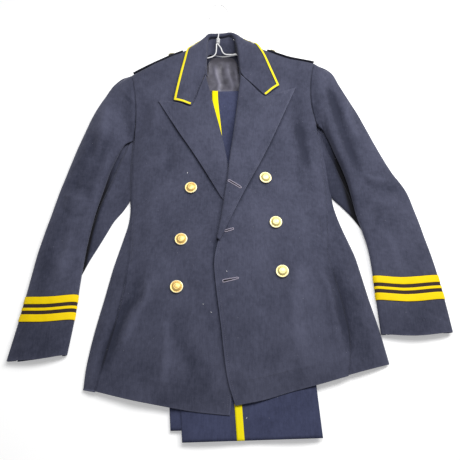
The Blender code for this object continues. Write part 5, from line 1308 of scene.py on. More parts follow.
def finished(thing, node=None, material=None):
    """Puts a piece in the scene, on the one body, in place of its solid."""
    bpy.context.scene.collection.objects.link(thing)
    if material:
        thing.data.materials.append(material)
    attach(thing, "root")
    if node:
        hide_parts(node)
    return thing


def mapped(mesh, grid, turned=False):
    """Lays a UV map in metres over a grid's faces: across the cloth, then along it."""
    columns = grid.shape[1]
    across = runs(np.swapaxes(grid, 0, 1))
    along = runs(grid)
    layer = mesh.uv_layers.new(name="cloth")
    corner = np.zeros(len(mesh.loops), dtype=np.int32)
    mesh.loops.foreach_get("vertex_index", corner)
    pair = [across[corner % columns], along[corner // columns]]
    if turned:
        pair.reverse()
    layer.data.foreach_set("uv", np.column_stack(pair).ravel())


def walled(thing, thickness, outward, edge=0.0, turns=2):
    """Gives a sheet its thickness, and rounds its cut edges where that shows."""
    wall = thing.modifiers.new("wall", "SOLIDIFY")
    wall.thickness = thickness
    wall.offset = 1.0 if outward else -1.0
    if edge:
        soft = thing.modifiers.new("soft_edge", "BEVEL")
        soft.width = edge
        soft.segments = turns
        soft.limit_method = "ANGLE"
    return thing


def surface(node):
    """A finished panel's face, to measure heights on."""
    if node not in SURFACES:
        mesh = bpy.data.meshes[node + "_cloth"]
        places = [vertex.co[:] for vertex in mesh.vertices]
        SURFACES[node] = BVHTree.FromPolygons(places, [face.vertices[:] for face in mesh.polygons])
    return SURFACES[node]


def top_of(node, grid):
    """Height of a finished panel under each place of a grid, or below the floor where there is none."""
    face, down, found = surface(node), Vector((0.0, 0.0, -1.0)), []
    for x, y in grid[..., :2].reshape(-1, 2):
        hit = face.ray_cast(Vector((x - BOX_MIDDLE[0], y - BOX_MIDDLE[1], 1.0)), down)[0]
        found.append(hit.z if hit else -1.0)
    return np.array(found).reshape(grid.shape[:2])


# Cloth is loose from this height over its lowest place on. Then: the height of crease and of swell that is
# shaded fully, the limits of shade, and how dark and how wide a seam is.
LOOSE_OVER = 0.006
CREASE_SHADE, SWELL_SHADE = 0.006, 0.01
DARKEST, LIGHTEST = -0.9, 0.5
SEAM_SHADE, SEAM_SHADE_WIDTH = 0.45, 0.0012


def panel(node, grid, thickness, material, step=0.0035, edges="", seams="", up=True, ring=False,
          outward=False, creases=(), swell=0.0, roll=0.45, lowest=0.006, edge=0.0, edge_tone=0.9,
          edge_tone_width=0.0017, shaded=(), painted_shadows=(), head=0.0, over=(), laid="", ending="_cloth"):
    """A cut piece of cloth on its solid's form: finer, creased, its free edges turned, its seams closed."""
    fine, row_at, column_at = finer(grid, step, edges + seams, ring)
    loose = smooth((fine[..., 2] - lowest) / LOOSE_OVER)
    if ring:
        loose = loose * (normals(fine)[..., 2] > 0.5)
    rise = loose * cloth_rise(fine[..., 0], fine[..., 1], creases, swell)
    x, y = fine[..., 0], fine[..., 1]
    # Painted shade kept on the mesh: troughs painted darker and ridges lighter, the shaded rows as painted
    # bands of shade and light, the shadow-line rows as dark painted shadows, free edges lighter, and darker
    # as painted shade where the edge value is below 0, and seams darker.
    drawn = crease_height(x, y, creases) / CREASE_SHADE + swell * swell_height(x, y) / SWELL_SHADE
    shade = np.clip(loose * drawn + crease_height(x, y, shaded), DARKEST, LIGHTEST)
    shade += crease_height(x, y, painted_shadows)
    shade += edge_tone * near_edges(fine, edges, edge_tone_width)
    shade -= SEAM_SHADE * near_edges(fine, seams, SEAM_SHADE_WIDTH)
    fine[..., 2] += rise
    if laid:
        top = top_of(laid, fine)
        fine[..., 2] = np.where(top > 0.0, top + SEAM, fine[..., 2])
    lies = normals(fine, up)[..., 2] > 0.3
    for under in over:
        least = top_of(under, fine) + thickness + SEAM
        fine[..., 2] = np.where(lies, np.maximum(fine[..., 2], least), fine[..., 2])
    fine = rolled(fine, edges, roll * thickness, up)
    fine = set_in(fine, head) if head else seamed(fine, seams, up)
    face = normals(fine, up)[..., 2] * (-1.0 if outward else 1.0)
    fine[..., 2] = np.maximum(fine[..., 2], thickness * smooth((face + 0.5) / 0.3))
    MADE[node] = (fine, row_at, column_at)
    mesh = grid_mesh(node + ending, fine, up, ring)
    mapped(mesh, fine)
    mesh.attributes.new("relief", "FLOAT", "POINT").data.foreach_set("value", shade.ravel())
    mesh.shade_smooth()
    thing = finished(bpy.data.objects.new(node + ending, mesh), node, material)
    walled(thing, thickness, outward, edge, 3)


# A panel's finished grid with its solid's row and column numbers, by node.
MADE = {}
SURFACES = {}


# How the cloth of the coat and of its sleeves creases, swells and is shaded.
WORN_COAT = {"creases": COAT_CREASES, "swell": 1.0}
SHADED_COAT = {**WORN_COAT, "shaded": COAT_SHADES}
SHADED_SLEEVE = {"creases": SLEEVE_CREASES, "swell": 1.2, "shaded": SLEEVE_SHADES}


def coat_body():
    """Fronts with the lapel that lies between them, side bodies and backs."""
    # The left front's shadow-line rows paint shadow along the left lapel's edge and beside the right front's
    # edge.
    panel("front_left", front_left_grid(), COAT_CLOTH, COAT_WOOL, edges="br", seams="lt", **SHADED_COAT,
          over=("trouser_leg_upper",),
          painted_shadows=((0.0032, 0.0032, -1.6, LEFT_LAPEL_EDGE), (0.004, 0.004, -1.1, RIGHT_EDGE)))
    left = lapel_grid(LEFT_ROLL, LEFT_LAPEL_EDGE, GORGE_LEFT, LEFT_LAPEL_TIP, False)
    panel("lapel_left", left, LAPEL_CLOTH, COAT_WOOL, step=0.003, edges="rt", over=("front_left",),
          **WORN_COAT)
    # The right front's shadow-line row paints shadow along the right lapel's edge.
    panel("front_right", front_right_grid(), COAT_CLOTH, COAT_WOOL, edges="bl", seams="rt", **SHADED_COAT,
          over=("trouser_leg_upper", "front_left", "lapel_left"),
          painted_shadows=((0.0036, 0.0036, -1.0, RIGHT_LAPEL_EDGE),))
    left = side_grid(LEFT_SEAM, LEFT_SIDE_FOLD, LEFT_BACK_SEAM, 0.0, 1.0)
    right = side_grid(RIGHT_SEAM, RIGHT_SIDE_FOLD, RIGHT_BACK_SEAM, RIGHT_TUCK, -1.0)
    panel("side_left", left, COAT_CLOTH, COAT_WOOL, edges="b", seams="lrt", **SHADED_COAT)
    panel("side_right", right, COAT_CLOTH, COAT_WOOL, edges="b", seams="lrt", **SHADED_COAT)
    left = back_grid(LEFT_BACK_SEAM, LEFT_ARMHOLE, 1.0, BACK_SEAM_X - 0.5 * SEAM)
    right = back_grid(RIGHT_BACK_SEAM, RIGHT_ARMHOLE, -1.0, BACK_SEAM_X + 0.5 * SEAM)
    panel("back_left", left, COAT_CLOTH, COAT_WOOL, step=0.008, edges="b", up=False)
    panel("back_right", right, COAT_CLOTH, COAT_WOOL, step=0.008, edges="b", up=False)


def lapels_and_collar():
    """The upper lapel, the collar with its stand, and the braid along the collar's edge."""
    right = lapel_grid(RIGHT_ROLL, RIGHT_LAPEL_EDGE, GORGE_RIGHT, RIGHT_LAPEL_TIP, True)
    panel("lapel_right", right, LAPEL_CLOTH, COAT_WOOL, step=0.003, edges="rt", over=("front_right",),
          **WORN_COAT)
    leaf = collar_grid()
    panel("collar", leaf, LAPEL_CLOTH, COAT_WOOL, step=0.0028, edges="btl",
          over=("front_left", "front_right"), **WORN_COAT)
    # Painted shadow: a dark line down the stand's right end beside the collar, and a darker band across its
    # back.
    panel("collar_stand", stand_grid(), STAND_CLOTH, COAT_WOOL, step=0.003,
          painted_shadows=((0.005, 0.005, -1.6, ((0.006, 0.54), (0.013, 0.47), (0.016, 0.4), (0.018, 0.33))),
                 (0.02, 0.02, -0.4, ((-0.06, 0.45), (0.01, 0.45)))))
    collar_braids(leaf)


# How much further the underarm cloth reaches in under the coat's side here, and from where up the garment on.
WEB_EXTRA = 0.008
WEB_EXTRA_FROM, WEB_EXTRA_RUN = 0.02, 0.06


def reaching_in(web, extra):
    """The underarm's edge, moved in under the coat's side."""
    return [(x + extra * float(smooth((y - WEB_EXTRA_FROM) / WEB_EXTRA_RUN)), y) for x, y in web]


def sleeves():
    """Both sleeves and the braid round their cuffs."""
    left = sleeve_top_grid(LEFT_INNER, LEFT_OUTER, LEFT_ARMHOLE, LEFT_CUFF, LEFT_SLEEVE_FOLDS, -1.0)
    right = sleeve_top_grid(RIGHT_INNER, RIGHT_OUTER, RIGHT_ARMHOLE, RIGHT_CUFF, RIGHT_SLEEVE_FOLDS, 1.0)
    panel("sleeve_top_left", left, SLEEVE_CLOTH, COAT_WOOL, edges="t", seams="b", head=0.45, **SHADED_SLEEVE)
    panel("sleeve_top_right", right, SLEEVE_CLOTH, COAT_WOOL, edges="t", seams="b", head=0.9, **SHADED_SLEEVE)
    web = reaching_in(LEFT_WEB, WEB_EXTRA)
    under = sleeve_under_grid(web, LEFT_INNER, LEFT_OUTER, LEFT_ARMHOLE, LEFT_CUFF, -1.0)
    # Painted shadow along the top sleeve's inner fold, and painted shade over the underarm cloth.
    panel("sleeve_under_left", under, WEB_CLOTH, COAT_WOOL, step=0.004, edges="t",
          painted_shadows=((0.0055, 0.0055, -1.9, LEFT_INNER), (0.04, 0.04, -0.3, LEFT_WEB)))
    web = reaching_in(RIGHT_WEB, -WEB_EXTRA)
    under = sleeve_under_grid(web, RIGHT_INNER, RIGHT_OUTER, RIGHT_ARMHOLE, RIGHT_CUFF, 1.0)
    # Painted shadow along the top sleeve's inner fold, and painted shade over the underarm cloth.
    panel("sleeve_under_right", under, WEB_CLOTH, COAT_WOOL, step=0.004, edges="t",
          painted_shadows=((0.008, 0.008, -2.0, RIGHT_INNER), (0.04, 0.04, -0.9, RIGHT_WEB)))
    cuff_braids("left", left, LEFT_BRAID_RISE)
    cuff_braids("right", right, RIGHT_BRAID_RISE)


def laid_band(node, on, rows, columns, lift, thickness, material, replaces=True):
    """A flat band of braid on a finished panel, placed by the panel's own rows and columns."""
    fine, row_at, column_at = MADE[on]
    for axis, factor in ((0, 2), (1, 5)):
        count = rows.shape[axis]
        at = np.linspace(0.0, count - 1.0, factor * (count - 1) + 1)
        rows = np.apply_along_axis(lambda line: np.interp(at, np.arange(count), line), axis, rows)
        columns = np.apply_along_axis(lambda line: np.interp(at, np.arange(count), line), axis, columns)
    fine_rows = np.interp(rows, row_at, np.arange(len(row_at)))
    fine_columns = np.interp(columns, column_at, np.arange(len(column_at)))
    band = laid_on(fine, fine_rows, fine_columns, lift)
    mesh = grid_mesh(node + "_woven", band)
    mapped(mesh, band, True)
    mesh.shade_smooth()
    thing = finished(bpy.data.objects.new(node + "_woven", mesh), node if replaces else None, material)
    return walled(thing, thickness, True, 0.00025)


# The dark ground under a cuff's braids: how much further it goes, its lift and its thickness.
TAPE_MORE, TAPE_LIFT, TAPE_CLOTH = 0.001, 0.00008, 0.00018


def cuff_braids(side, sleeve, rise):
    """Three rows of braid round the cuff, laid on the top sleeve."""
    shown = [j for j in range(2, sleeve.shape[1] - 1) if sleeve[-1, j, 2] > BRAID_LOWEST]
    columns = np.array(shown, dtype=float)
    lift = np.interp(np.arange(sleeve.shape[1]), (shown[0], shown[-1]), rise)
    for number, (start, width) in enumerate(CUFF_BRAIDS, 1):
        rows = np.stack([from_the_cuff(sleeve, start + lift + width * (1.0 - t))[shown]
                         for t in spread(0.0, 1.0, 3)])
        laid_band(f"cuff_braid_{side}_{number}", f"sleeve_top_{side}", rows,
                  np.broadcast_to(columns, rows.shape), SEAM, BRAID_CLOTH, CUFF_YELLOW)
    low, high = CUFF_BRAIDS[-1][0] - TAPE_MORE, CUFF_BRAIDS[0][0] + WIDE_BRAID + TAPE_MORE
    rows = np.stack([from_the_cuff(sleeve, high + lift - (high - low) * t)[shown]
                     for t in spread(0.0, 1.0, 5)])
    tape = laid_band(f"cuff_tape_{side}", f"sleeve_top_{side}", rows, np.broadcast_to(columns, rows.shape),
                     TAPE_LIFT, TAPE_CLOTH, BRAID_TAPE, False)


def collar_braids(leaf):
    """Braid along each end of the collar's leaf and its outer edge as far as the back."""
    last = leaf.shape[0] - 1
    numbers = np.arange(last + 1)
    share = 2.0 * COLLAR_BRAID / np.linalg.norm(leaf[:, 2] - leaf[:, 0], axis=1)
    for side, first, towards in (("left", 0, 1), ("right", last, -1)):
        step = np.linalg.norm(leaf[first + towards, 2] - leaf[first, 2])
        along = first + towards * np.arange(1, last // 2 + 1)
        rows, columns = [], []
        for inset in (0.0, 0.5, 1.0):
            near = first + towards * (BRAID_INSET + inset * COLLAR_BRAID / step)
            corner = BRAID_INSET + inset * np.interp(near, numbers, share)
            rows.append([near] * 6 + along.tolist())
            columns.append([5.0, 4.0, 3.0, 2.0, 1.0, corner] + (BRAID_INSET + inset * share[along]).tolist())
        laid_band(f"collar_braid_{side}", "collar", np.array(rows, dtype=float), np.array(columns),
                  BRAID_LIFT, BRAID_CLOTH, COLLAR_YELLOW)


# The lining's upper edge, in under the collar's stand.
LINING_UNDER_STAND = ((-0.048, 0.399), (-0.048, 0.428), (-0.042, 0.439), (-0.028, 0.4425), (-0.014, 0.443),
    (-0.001, 0.4425), (0.008, 0.439), (0.0135, 0.428), (0.018, 0.399))


def lining():
    """The satin lining at the back of the neck, with the soft folds of loose cloth."""
    rows, columns = spread(0.0, 1.0, LINING_ROWS), spread(0.0, 1.0, LINING_COLUMNS)
    plan = patch(LINING_FOOT, LINING_UNDER_STAND, LINING_LEFT, LINING_RIGHT, columns, rows)
    share = rows[:, None] * np.ones(LINING_COLUMNS)
    height = LINING_LOW + (LINING_HIGH - LINING_LOW) * smooth((share - 0.25) / 0.75) ** 1.5
    # Painted shade along the top edge, below the collar's stand, and along the right edge, beside the collar:
    # the edge value below 0 darkens them.
    panel("back_neck_lining", with_height(plan, height), LINING_CLOTH, NECK_SATIN, step=0.002, edges="tr",
          roll=0.0, lowest=0.0, edge_tone=-0.7, edge_tone_width=0.01)
    fine = MADE["back_neck_lining"][0]
    rise = crease_height(fine[..., 0], fine[..., 1], LINING_CREASES)
    mesh = bpy.data.meshes["back_neck_lining_cloth"]
    lifted = fine.copy()
    lifted[..., 2] += rise
    mesh.vertices.foreach_set("co", (lifted - (*BOX_MIDDLE, 0.0)).ravel())
    # Painted light and shade on the folds: lighter on their tops, darker in their troughs.
    shade = np.zeros(len(mesh.vertices))
    mesh.attributes["relief"].data.foreach_get("value", shade)
    mesh.attributes["relief"].data.foreach_set("value", shade + rise.ravel() / 0.005)
    mesh.update()


def strand(name, lines, radius, material, sides=6):
    """Thin round strands along lines of places."""
    curve_data = bpy.data.curves.new(name, "CURVE")
    curve_data.dimensions = "3D"
    curve_data.bevel_depth = radius
    curve_data.bevel_resolution = max(0, sides // 4 - 1)
    curve_data.use_fill_caps = True
    for line in lines:
        spline = curve_data.splines.new("POLY")
        spline.points.add(len(line) - 1)
        for point, place in zip(spline.points, line):
            point.co = (*(np.array(place) - (*BOX_MIDDLE, 0.0)), 1.0)
    holder = bpy.data.objects.new(name + "_line", curve_data)
    bpy.context.scene.collection.objects.link(holder)
    shape = bpy.context.evaluated_depsgraph_get()
    mesh = bpy.data.meshes.new_from_object(holder.evaluated_get(shape))
    bpy.data.objects.remove(holder)
    mesh.name = name
    mesh.shade_smooth()
    mesh.materials.clear()
    thing = finished(bpy.data.objects.new(name, mesh), None, material)
    return thing


# Columns: share of the radius, height over the button's back, for the full-size button.
BUTTON_TURNED = ((0.0, 0.0072), (0.1, 0.00716), (0.2, 0.00703), (0.3, 0.0068), (0.38, 0.0065),
    (0.41, 0.0066), (0.45, 0.0064), (0.52, 0.0059), (0.6, 0.00525), (0.66, 0.00455), (0.7, 0.00395),
    (0.73, 0.00345), (0.76, 0.00315), (0.79, 0.00318), (0.83, 0.0035), (0.88, 0.00362), (0.93, 0.0035),
    (0.97, 0.0031), (0.995, 0.00255), (1.0, 0.0021), (0.99, 0.0015), (0.96, 0.0008), (0.9, 0.0003),
    (0.8, 0.0), (0.4, 0.0), (0.0, 0.0))
BUTTON_SPOKES = 64
RIM_STARTS, RIM_ENDS = 0.83, 0.97
FRONT_RINGS = 20
MILLING_DEPTH = 0.0001


def turned_button(node, middle, tilt, radius, crown):
    """A domed gilt button: a raised milled rim round a plain crown with a fine ring on it."""
    scale = radius / BUTTON_RADIUS
    builder = bmesh.new()
    rings, at = [], []
    for number, (share, height) in enumerate(BUTTON_TURNED):
        at.append(share if number < FRONT_RINGS else 1.0)
        if share == 0.0:
            rings.append([builder.verts.new((0.0, 0.0, height * scale))])
            continue
        ring = []
        for spoke in range(BUTTON_SPOKES):
            angle = 2.0 * math.pi * spoke / BUTTON_SPOKES
            on_rim = RIM_STARTS <= share <= RIM_ENDS and number < FRONT_RINGS
            milled = MILLING_DEPTH * scale * (spoke % 2) if on_rim else 0.0
            ring.append(builder.verts.new((share * radius * math.cos(angle), share * radius * math.sin(angle),
                                           height * scale - milled)))
        rings.append(ring)
    for inner, outer, share in zip(rings, rings[1:], at):
        for k in range(BUTTON_SPOKES):
            n = (k + 1) % BUTTON_SPOKES
            if len(inner) == 1:
                face = builder.faces.new((inner[0], outer[k], outer[n]))
            elif len(outer) == 1:
                face = builder.faces.new((inner[k], outer[0], inner[n]))
            else:
                face = builder.faces.new((inner[k], outer[k], outer[n], inner[n]))
            face.material_index = 1 if share > RIM_STARTS else 0
    turn = Matrix.Rotation(tilt[1], 4, "Y") @ Matrix.Rotation(tilt[0], 4, "X")
    turn = Matrix.Translation(Vector(middle) - Vector((*BOX_MIDDLE, 0.0))) @ turn
    builder.transform(turn)
    mesh = bpy.data.meshes.new(node + "_gilt")
    builder.to_mesh(mesh)
    builder.free()
    mesh.shade_smooth()
    mesh.materials.append(crown)
    mesh.materials.append(RIM_GILT)
    return finished(bpy.data.objects.new(node + "_gilt", mesh), node)


def front_buttons():
    """Three gilt buttons down each front."""
    for side, places in (("left", LEFT_BUTTONS), ("right", RIGHT_BUTTONS)):
        solid = {"left": front_left_grid, "right": front_right_grid}[side]()
        for number, (x, y) in enumerate(places, 1):
            z, slope_x, slope_y = seat(solid, x, y, BUTTON_RADIUS)
            tilt = (math.atan(slope_y), -math.atan(slope_x))
            spokes = np.array([(0, 0), (1, 0), (-1, 0), (0, 1), (0, -1)]) * 0.8 * BUTTON_RADIUS
            rise = cloth_rise(x + spokes[:, 0], y + spokes[:, 1], COAT_CREASES, 1.0).max()
            # The left front's buttons take the gilt painted darker as shade.
            turned_button(f"button_{side}_{number}", (x, y, z + SEAM + rise), tilt, BUTTON_RADIUS,
                          SHADED_GILT if side == "left" else PALE_GILT)


# The gold piping: how far along the strap it goes, in rows, its column, its lift over the strap, its radius.
PIPING_ROWS, PIPING_COLUMN, PIPING_LIFT, PIPING_RADIUS = 1.8, 3.6, 0.0022, 0.0013


def straps():
    """A strap on each shoulder with its small button, and the gold piping on the right one's outer half."""
    for side, places in (("left", LEFT_STRAP), ("right", RIGHT_STRAP)):
        grid = strap_grid(places)
        panel(f"shoulder_strap_{side}", grid, STRAP_CLOTH, STRAP_WOOL, step=0.002, outward=True,
              edge=0.3 * STRAP_CLOTH)
        row, column_at = np.array([STRAP_BUTTON_ROW]), np.array([STRAP_BUTTON_COLUMN])
        place = laid_on(grid, row, column_at, STRAP_CLOTH + STRAP_BUTTON_LIFT)[0]
        face = sample(normals(grid), row, column_at)[0]
        tilt = (-math.atan2(face[1], face[2]), math.atan2(face[0], face[2]))
        turned_button(f"strap_button_{side}", place, tilt, STRAP_BUTTON_RADIUS, PALE_GILT)
    rows = np.linspace(0.0, PIPING_ROWS, 14)
    piping = laid_on(strap_grid(RIGHT_STRAP), rows, np.full(14, PIPING_COLUMN), STRAP_CLOTH + PIPING_LIFT)
    strand("shoulder_strap_right_piping", [piping.tolist()], PIPING_RADIUS, STRAP_GOLD,
           sides=8)


def trousers():
    """Both legs over the bar, the side stripe, and the waist half folded under them."""
    upper = leg_grid(UPPER_LEG, UPPER_LEG_TURN)
    lower = leg_grid(LOWER_LEG, LOWER_LEG_TURN)
    panel("trouser_leg_upper", upper, TROUSER_CLOTH, TROUSER_WOOL, step=0.006, ring=True, creases=LEG_CREASES,
          lowest=0.0, swell=0.5)
    panel("trouser_leg_lower", lower, TROUSER_CLOTH, TROUSER_WOOL, step=0.006, ring=True)
    stripe = stripe_grid(upper, column(STRIPE_PLACE, 1, np.arange(upper.shape[0])))[:-2]
    panel("trouser_stripe", stripe, BRAID_CLOTH, YELLOW_BRAID, step=0.003, outward=True, lowest=0.0,
          laid="trouser_leg_upper", ending="_woven")
    waist_half()


# The edge of four layers of cloth folded together. Columns: share of the height, way in from the edge.
LAYERED_EDGE = ((0.96, 0.0055), (0.9, 0.0018), (0.83, 0.0004), (0.76, 0.0018), (0.74, 0.003),
    (0.7, 0.0014), (0.62, 0.0), (0.53, 0.0012), (0.5, 0.0028), (0.47, 0.0014), (0.38, 0.0002),
    (0.29, 0.0014), (0.26, 0.003), (0.22, 0.0016), (0.14, 0.0006), (0.07, 0.0018), (0.02, 0.0055))


def waist_half():
    """The trousers' upper half, folded under the legs: one rounded solid with its layers at the edges."""
    low, high = WAIST_LOW, BAR_HEIGHT + LOWER_LEG_TURN - 0.5 * LEG_THICKNESS - 2.0 * SEAM
    at = np.linspace(WAIST[0][0], WAIST[-1][0], 40)
    rows = []
    for y, left, right in zip(at, column(WAIST, 1, at), column(WAIST, 2, at)):
        across = np.linspace(left + 0.02, right - 0.02, 12)
        ring = [(x, y, high) for x in across]
        ring += [(right - inset, y, low + share * (high - low)) for share, inset in LAYERED_EDGE]
        ring += [(x, y, low) for x in across[::-1]]
        ring += [(left + inset, y, low + share * (high - low)) for share, inset in LAYERED_EDGE[::-1]]
        rows.append(ring)
    mesh = grid_mesh("trouser_waist_half_cloth", np.array(rows), ring=True)
    builder = bmesh.new()
    builder.from_mesh(mesh)
    builder.verts.ensure_lookup_table()
    count = len(rows[0])
    for start in (0, (len(rows) - 1) * count):
        builder.faces.new([builder.verts[start + k] for k in range(count)])
    bmesh.ops.recalc_face_normals(builder, faces=builder.faces)
    builder.to_mesh(mesh)
    builder.free()
    mesh.shade_smooth()
    finished(bpy.data.objects.new("trouser_waist_half_cloth", mesh), "trouser_waist_half", TROUSER_WOOL)


WIRE_STEP = 0.004


def hanger():
    """One bent wire: hook, stem, right arm, bar, left arm and the end twisted round the stem."""
    turns = [math.radians(angle) for angle in HOOK_ANGLES]
    hook = [(HOOK_MIDDLE[0] + HOOK_RADIUS * math.cos(a), HOOK_MIDDLE[1] + HOOK_RADIUS * math.sin(a))
            for a in turns]
    stem = [(stem_x(y), y) for y in STEM]
    points = [(x, y, wire_height(y)) for x, y in (*hook, *stem, *RIGHT_ARM, *BAR, *LEFT_ARM)]
    for k in range(TWIST_TURNS * TWIST_STEPS + 1):
        turn = 2.0 * math.pi * k / TWIST_STEPS
        y = NECK[1] + TWIST_PITCH * k / TWIST_STEPS
        points.append((stem_x(y) - TWIST_RADIUS * math.cos(turn), y,
                       wire_height(y) - TWIST_RADIUS * math.sin(turn)))
    line = np.array(points)[:, None, :]
    run = runs(line)
    at = np.unique(np.concatenate([np.linspace(a, b, max(2, round((b - a) / WIRE_STEP) + 1))
                                   for a, b in zip(run, run[1:])]))
    wire = through(line, at, run)[:, 0]
    thing = strand("hanger_wire_coated", [wire.tolist()], WIRE_RADIUS, WIRE_COAT, sides=12)
    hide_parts("hanger_wire")


def stitch_maker(name, material, gap, size):
    """A tree that sets one small stitch after another along a line."""
    tree = bpy.data.node_groups.new(name, "GeometryNodeTree")
    tree.interface.new_socket("Line", in_out="INPUT", socket_type="NodeSocketGeometry")
    spacing = tree.interface.new_socket("Stitch spacing", in_out="INPUT", socket_type="NodeSocketFloat")
    spacing.default_value = gap
    tree.interface.new_socket("Stitches", in_out="OUTPUT", socket_type="NodeSocketGeometry")
    start = tree.nodes.new("NodeGroupInput")
    end = tree.nodes.new("NodeGroupOutput")
    to_curve = add(tree, "GeometryNodeMeshToCurve", None, {"Mesh": start.outputs["Line"]})
    even = add(tree, "GeometryNodeResampleCurve", None, {"Curve": to_curve.outputs[0]}, mode="LENGTH")
    tree.links.new(start.outputs["Stitch spacing"], even.inputs["Length"])
    along = add(tree, "GeometryNodeInputTangent")
    facing = add(tree, "FunctionNodeAlignRotationToVector", None, {"Vector": along.outputs[0]}, axis="X",
                 pivot_axis="Z")
    ball = add(tree, "GeometryNodeMeshUVSphere", {"Segments": 6, "Rings": 4, "Radius": 0.5})
    placed = add(tree, "GeometryNodeInstanceOnPoints", {"Scale": size},
                 {"Points": even.outputs[0], "Instance": ball.outputs["Mesh"], "Rotation": facing.outputs[0]})
    real = add(tree, "GeometryNodeRealizeInstances", None, {"Geometry": placed.outputs[0]})
    coloured = add(tree, "GeometryNodeSetMaterial", None, {"Geometry": real.outputs[0]})
    coloured.inputs["Material"].default_value = material
    tree.links.new(coloured.outputs[0], end.inputs[0])
    return tree


def sewn(name, lines, material, gap, size):
    """Rows of stitches along lines of places: their spacing, and each one's length, width and height."""
    verts, edges = [], []
    for line in lines:
        start = len(verts)
        verts += [tuple(np.array(place) - (*BOX_MIDDLE, 0.0)) for place in line]
        edges += [(k, k + 1) for k in range(start, len(verts) - 1)]
    base = bpy.data.meshes.new(name + "_line")
    base.from_pydata(verts, edges, [])
    holder = bpy.data.objects.new(name + "_line", base)
    bpy.context.scene.collection.objects.link(holder)
    nodes = holder.modifiers.new("stitches", "NODES")
    nodes.node_group = stitch_maker(name, material, gap, size)
    for item in nodes.node_group.interface.items_tree:
        if item.in_out == "INPUT" and item.name == "Stitch spacing":
            nodes[item.identifier] = gap
    shape = bpy.context.evaluated_depsgraph_get()
    mesh = bpy.data.meshes.new_from_object(holder.evaluated_get(shape))
    bpy.data.objects.remove(holder)
    mesh.name = name
    mesh.shade_smooth()
    thing = finished(bpy.data.objects.new(name, mesh))
    if not mesh.materials:
        mesh.materials.append(material)
    return thing


def inset_line(node, side, inset, lift, low=0.0, high=1.0):
    """Places on a finished panel, one inset from its edge: side r or l of the columns, b or t of the rows."""
    fine = MADE[node][0]
    face = normals(fine)
    if side in "rl":
        lines = fine if side == "l" else fine[:, ::-1]
        faces = face if side == "l" else face[:, ::-1]
    else:
        lines = np.swapaxes(fine if side == "b" else fine[::-1], 0, 1)
        faces = np.swapaxes(face if side == "b" else face[::-1], 0, 1)
    count = len(lines)
    line = []
    for k in range(int(low * (count - 1)), int(high * (count - 1)) + 1):
        away = np.concatenate([[0.0], np.cumsum(np.linalg.norm(np.diff(lines[k], axis=0), axis=1))])
        place = [np.interp(inset, away, lines[k][:, c]) for c in range(3)]
        up = [np.interp(inset, away, faces[k][:, c]) for c in range(3)]
        line.append(np.array(place) + lift * np.array(up))
    return line


PICK_STITCH = (0.0019, 0.00055, 0.00055)
MACHINE_STITCH = (0.0014, 0.00045, 0.0004)


def edge_stitching():
    """Pick stitches inside the pressed edges, and the seam, dart and hem lines that show."""
    rows = (("lapel_left", "r", 0.0055), ("lapel_right", "r", 0.0055), ("front_left", "r", 0.006),
            ("front_right", "l", 0.006))
    for node, side, inset in rows:
        sewn(node + "_pick_stitches", [inset_line(node, side, inset, 0.0001, 0.02, 0.97)], EDGE_THREAD,
             0.0034, PICK_STITCH)
    for node in ("lapel_left", "lapel_right"):
        sewn(node + "_tip_stitches", [inset_line(node, "t", 0.0055, 0.0001, 0.55, 0.97)], EDGE_THREAD,
             0.0034, PICK_STITCH)
    for name, node, places in SEAM_LINES:
        ends = np.array(places)
        at = np.linspace(0.0, len(ends) - 1.0, 14 * (len(ends) - 1) + 1)
        plan = np.column_stack([np.interp(at, np.arange(len(ends)), ends[:, c]) for c in (0, 1)])
        line = [on_panel(node, x, y, 0.0001) for x, y in plan]
        sewn(name, [line], SEAM_THREAD, 0.0017, MACHINE_STITCH)


def on_panel(node, x, y, lift):
    """The place on a finished panel over a place of the drawing."""
    return (x, y, float(top_of(node, np.array([[(x, y)]]))[0, 0]) + lift)


# Lines of machine stitches. Columns: name, panel, places.
SEAM_LINES = (
    ("front_left_side_seam_stitches", "front_left", ((-0.1939, 0.0334), (-0.1915, -0.02), (-0.1897, -0.072))),
    ("front_right_dart_stitches", "front_right", ((0.1808, -0.0212), (0.1797, 0.0347))),
    ("front_right_hem_stitches", "front_right", ((0.0343, -0.2824), (0.07, -0.275), (0.1094, -0.2654))),
)

# Worked buttonholes. Columns: name, panel, one end and the other, half the width at each end, and the shares
# of the length between which the slit stands open.
BUTTONHOLES = (
    ("lapel_buttonhole", "lapel_right", (-0.0035, 0.103), (0.0222, 0.0856), 0.002, 0.0019, 0.12, 0.98),
    ("upper_buttonhole", "front_right", (-0.0104, -0.0048), (0.0068, 0.0002), 0.002, 0.0017, 0.1, 0.6),
    ("lower_buttonhole", "front_right", (-0.014, -0.1043), (0.0158, -0.098), 0.0027, 0.0015, 0.02, 0.62),
)
PURL_STITCH = (0.0012, 0.0023, 0.0013)
SLIT_WIDTH = 0.55
SLIT_LIFT = 0.0007


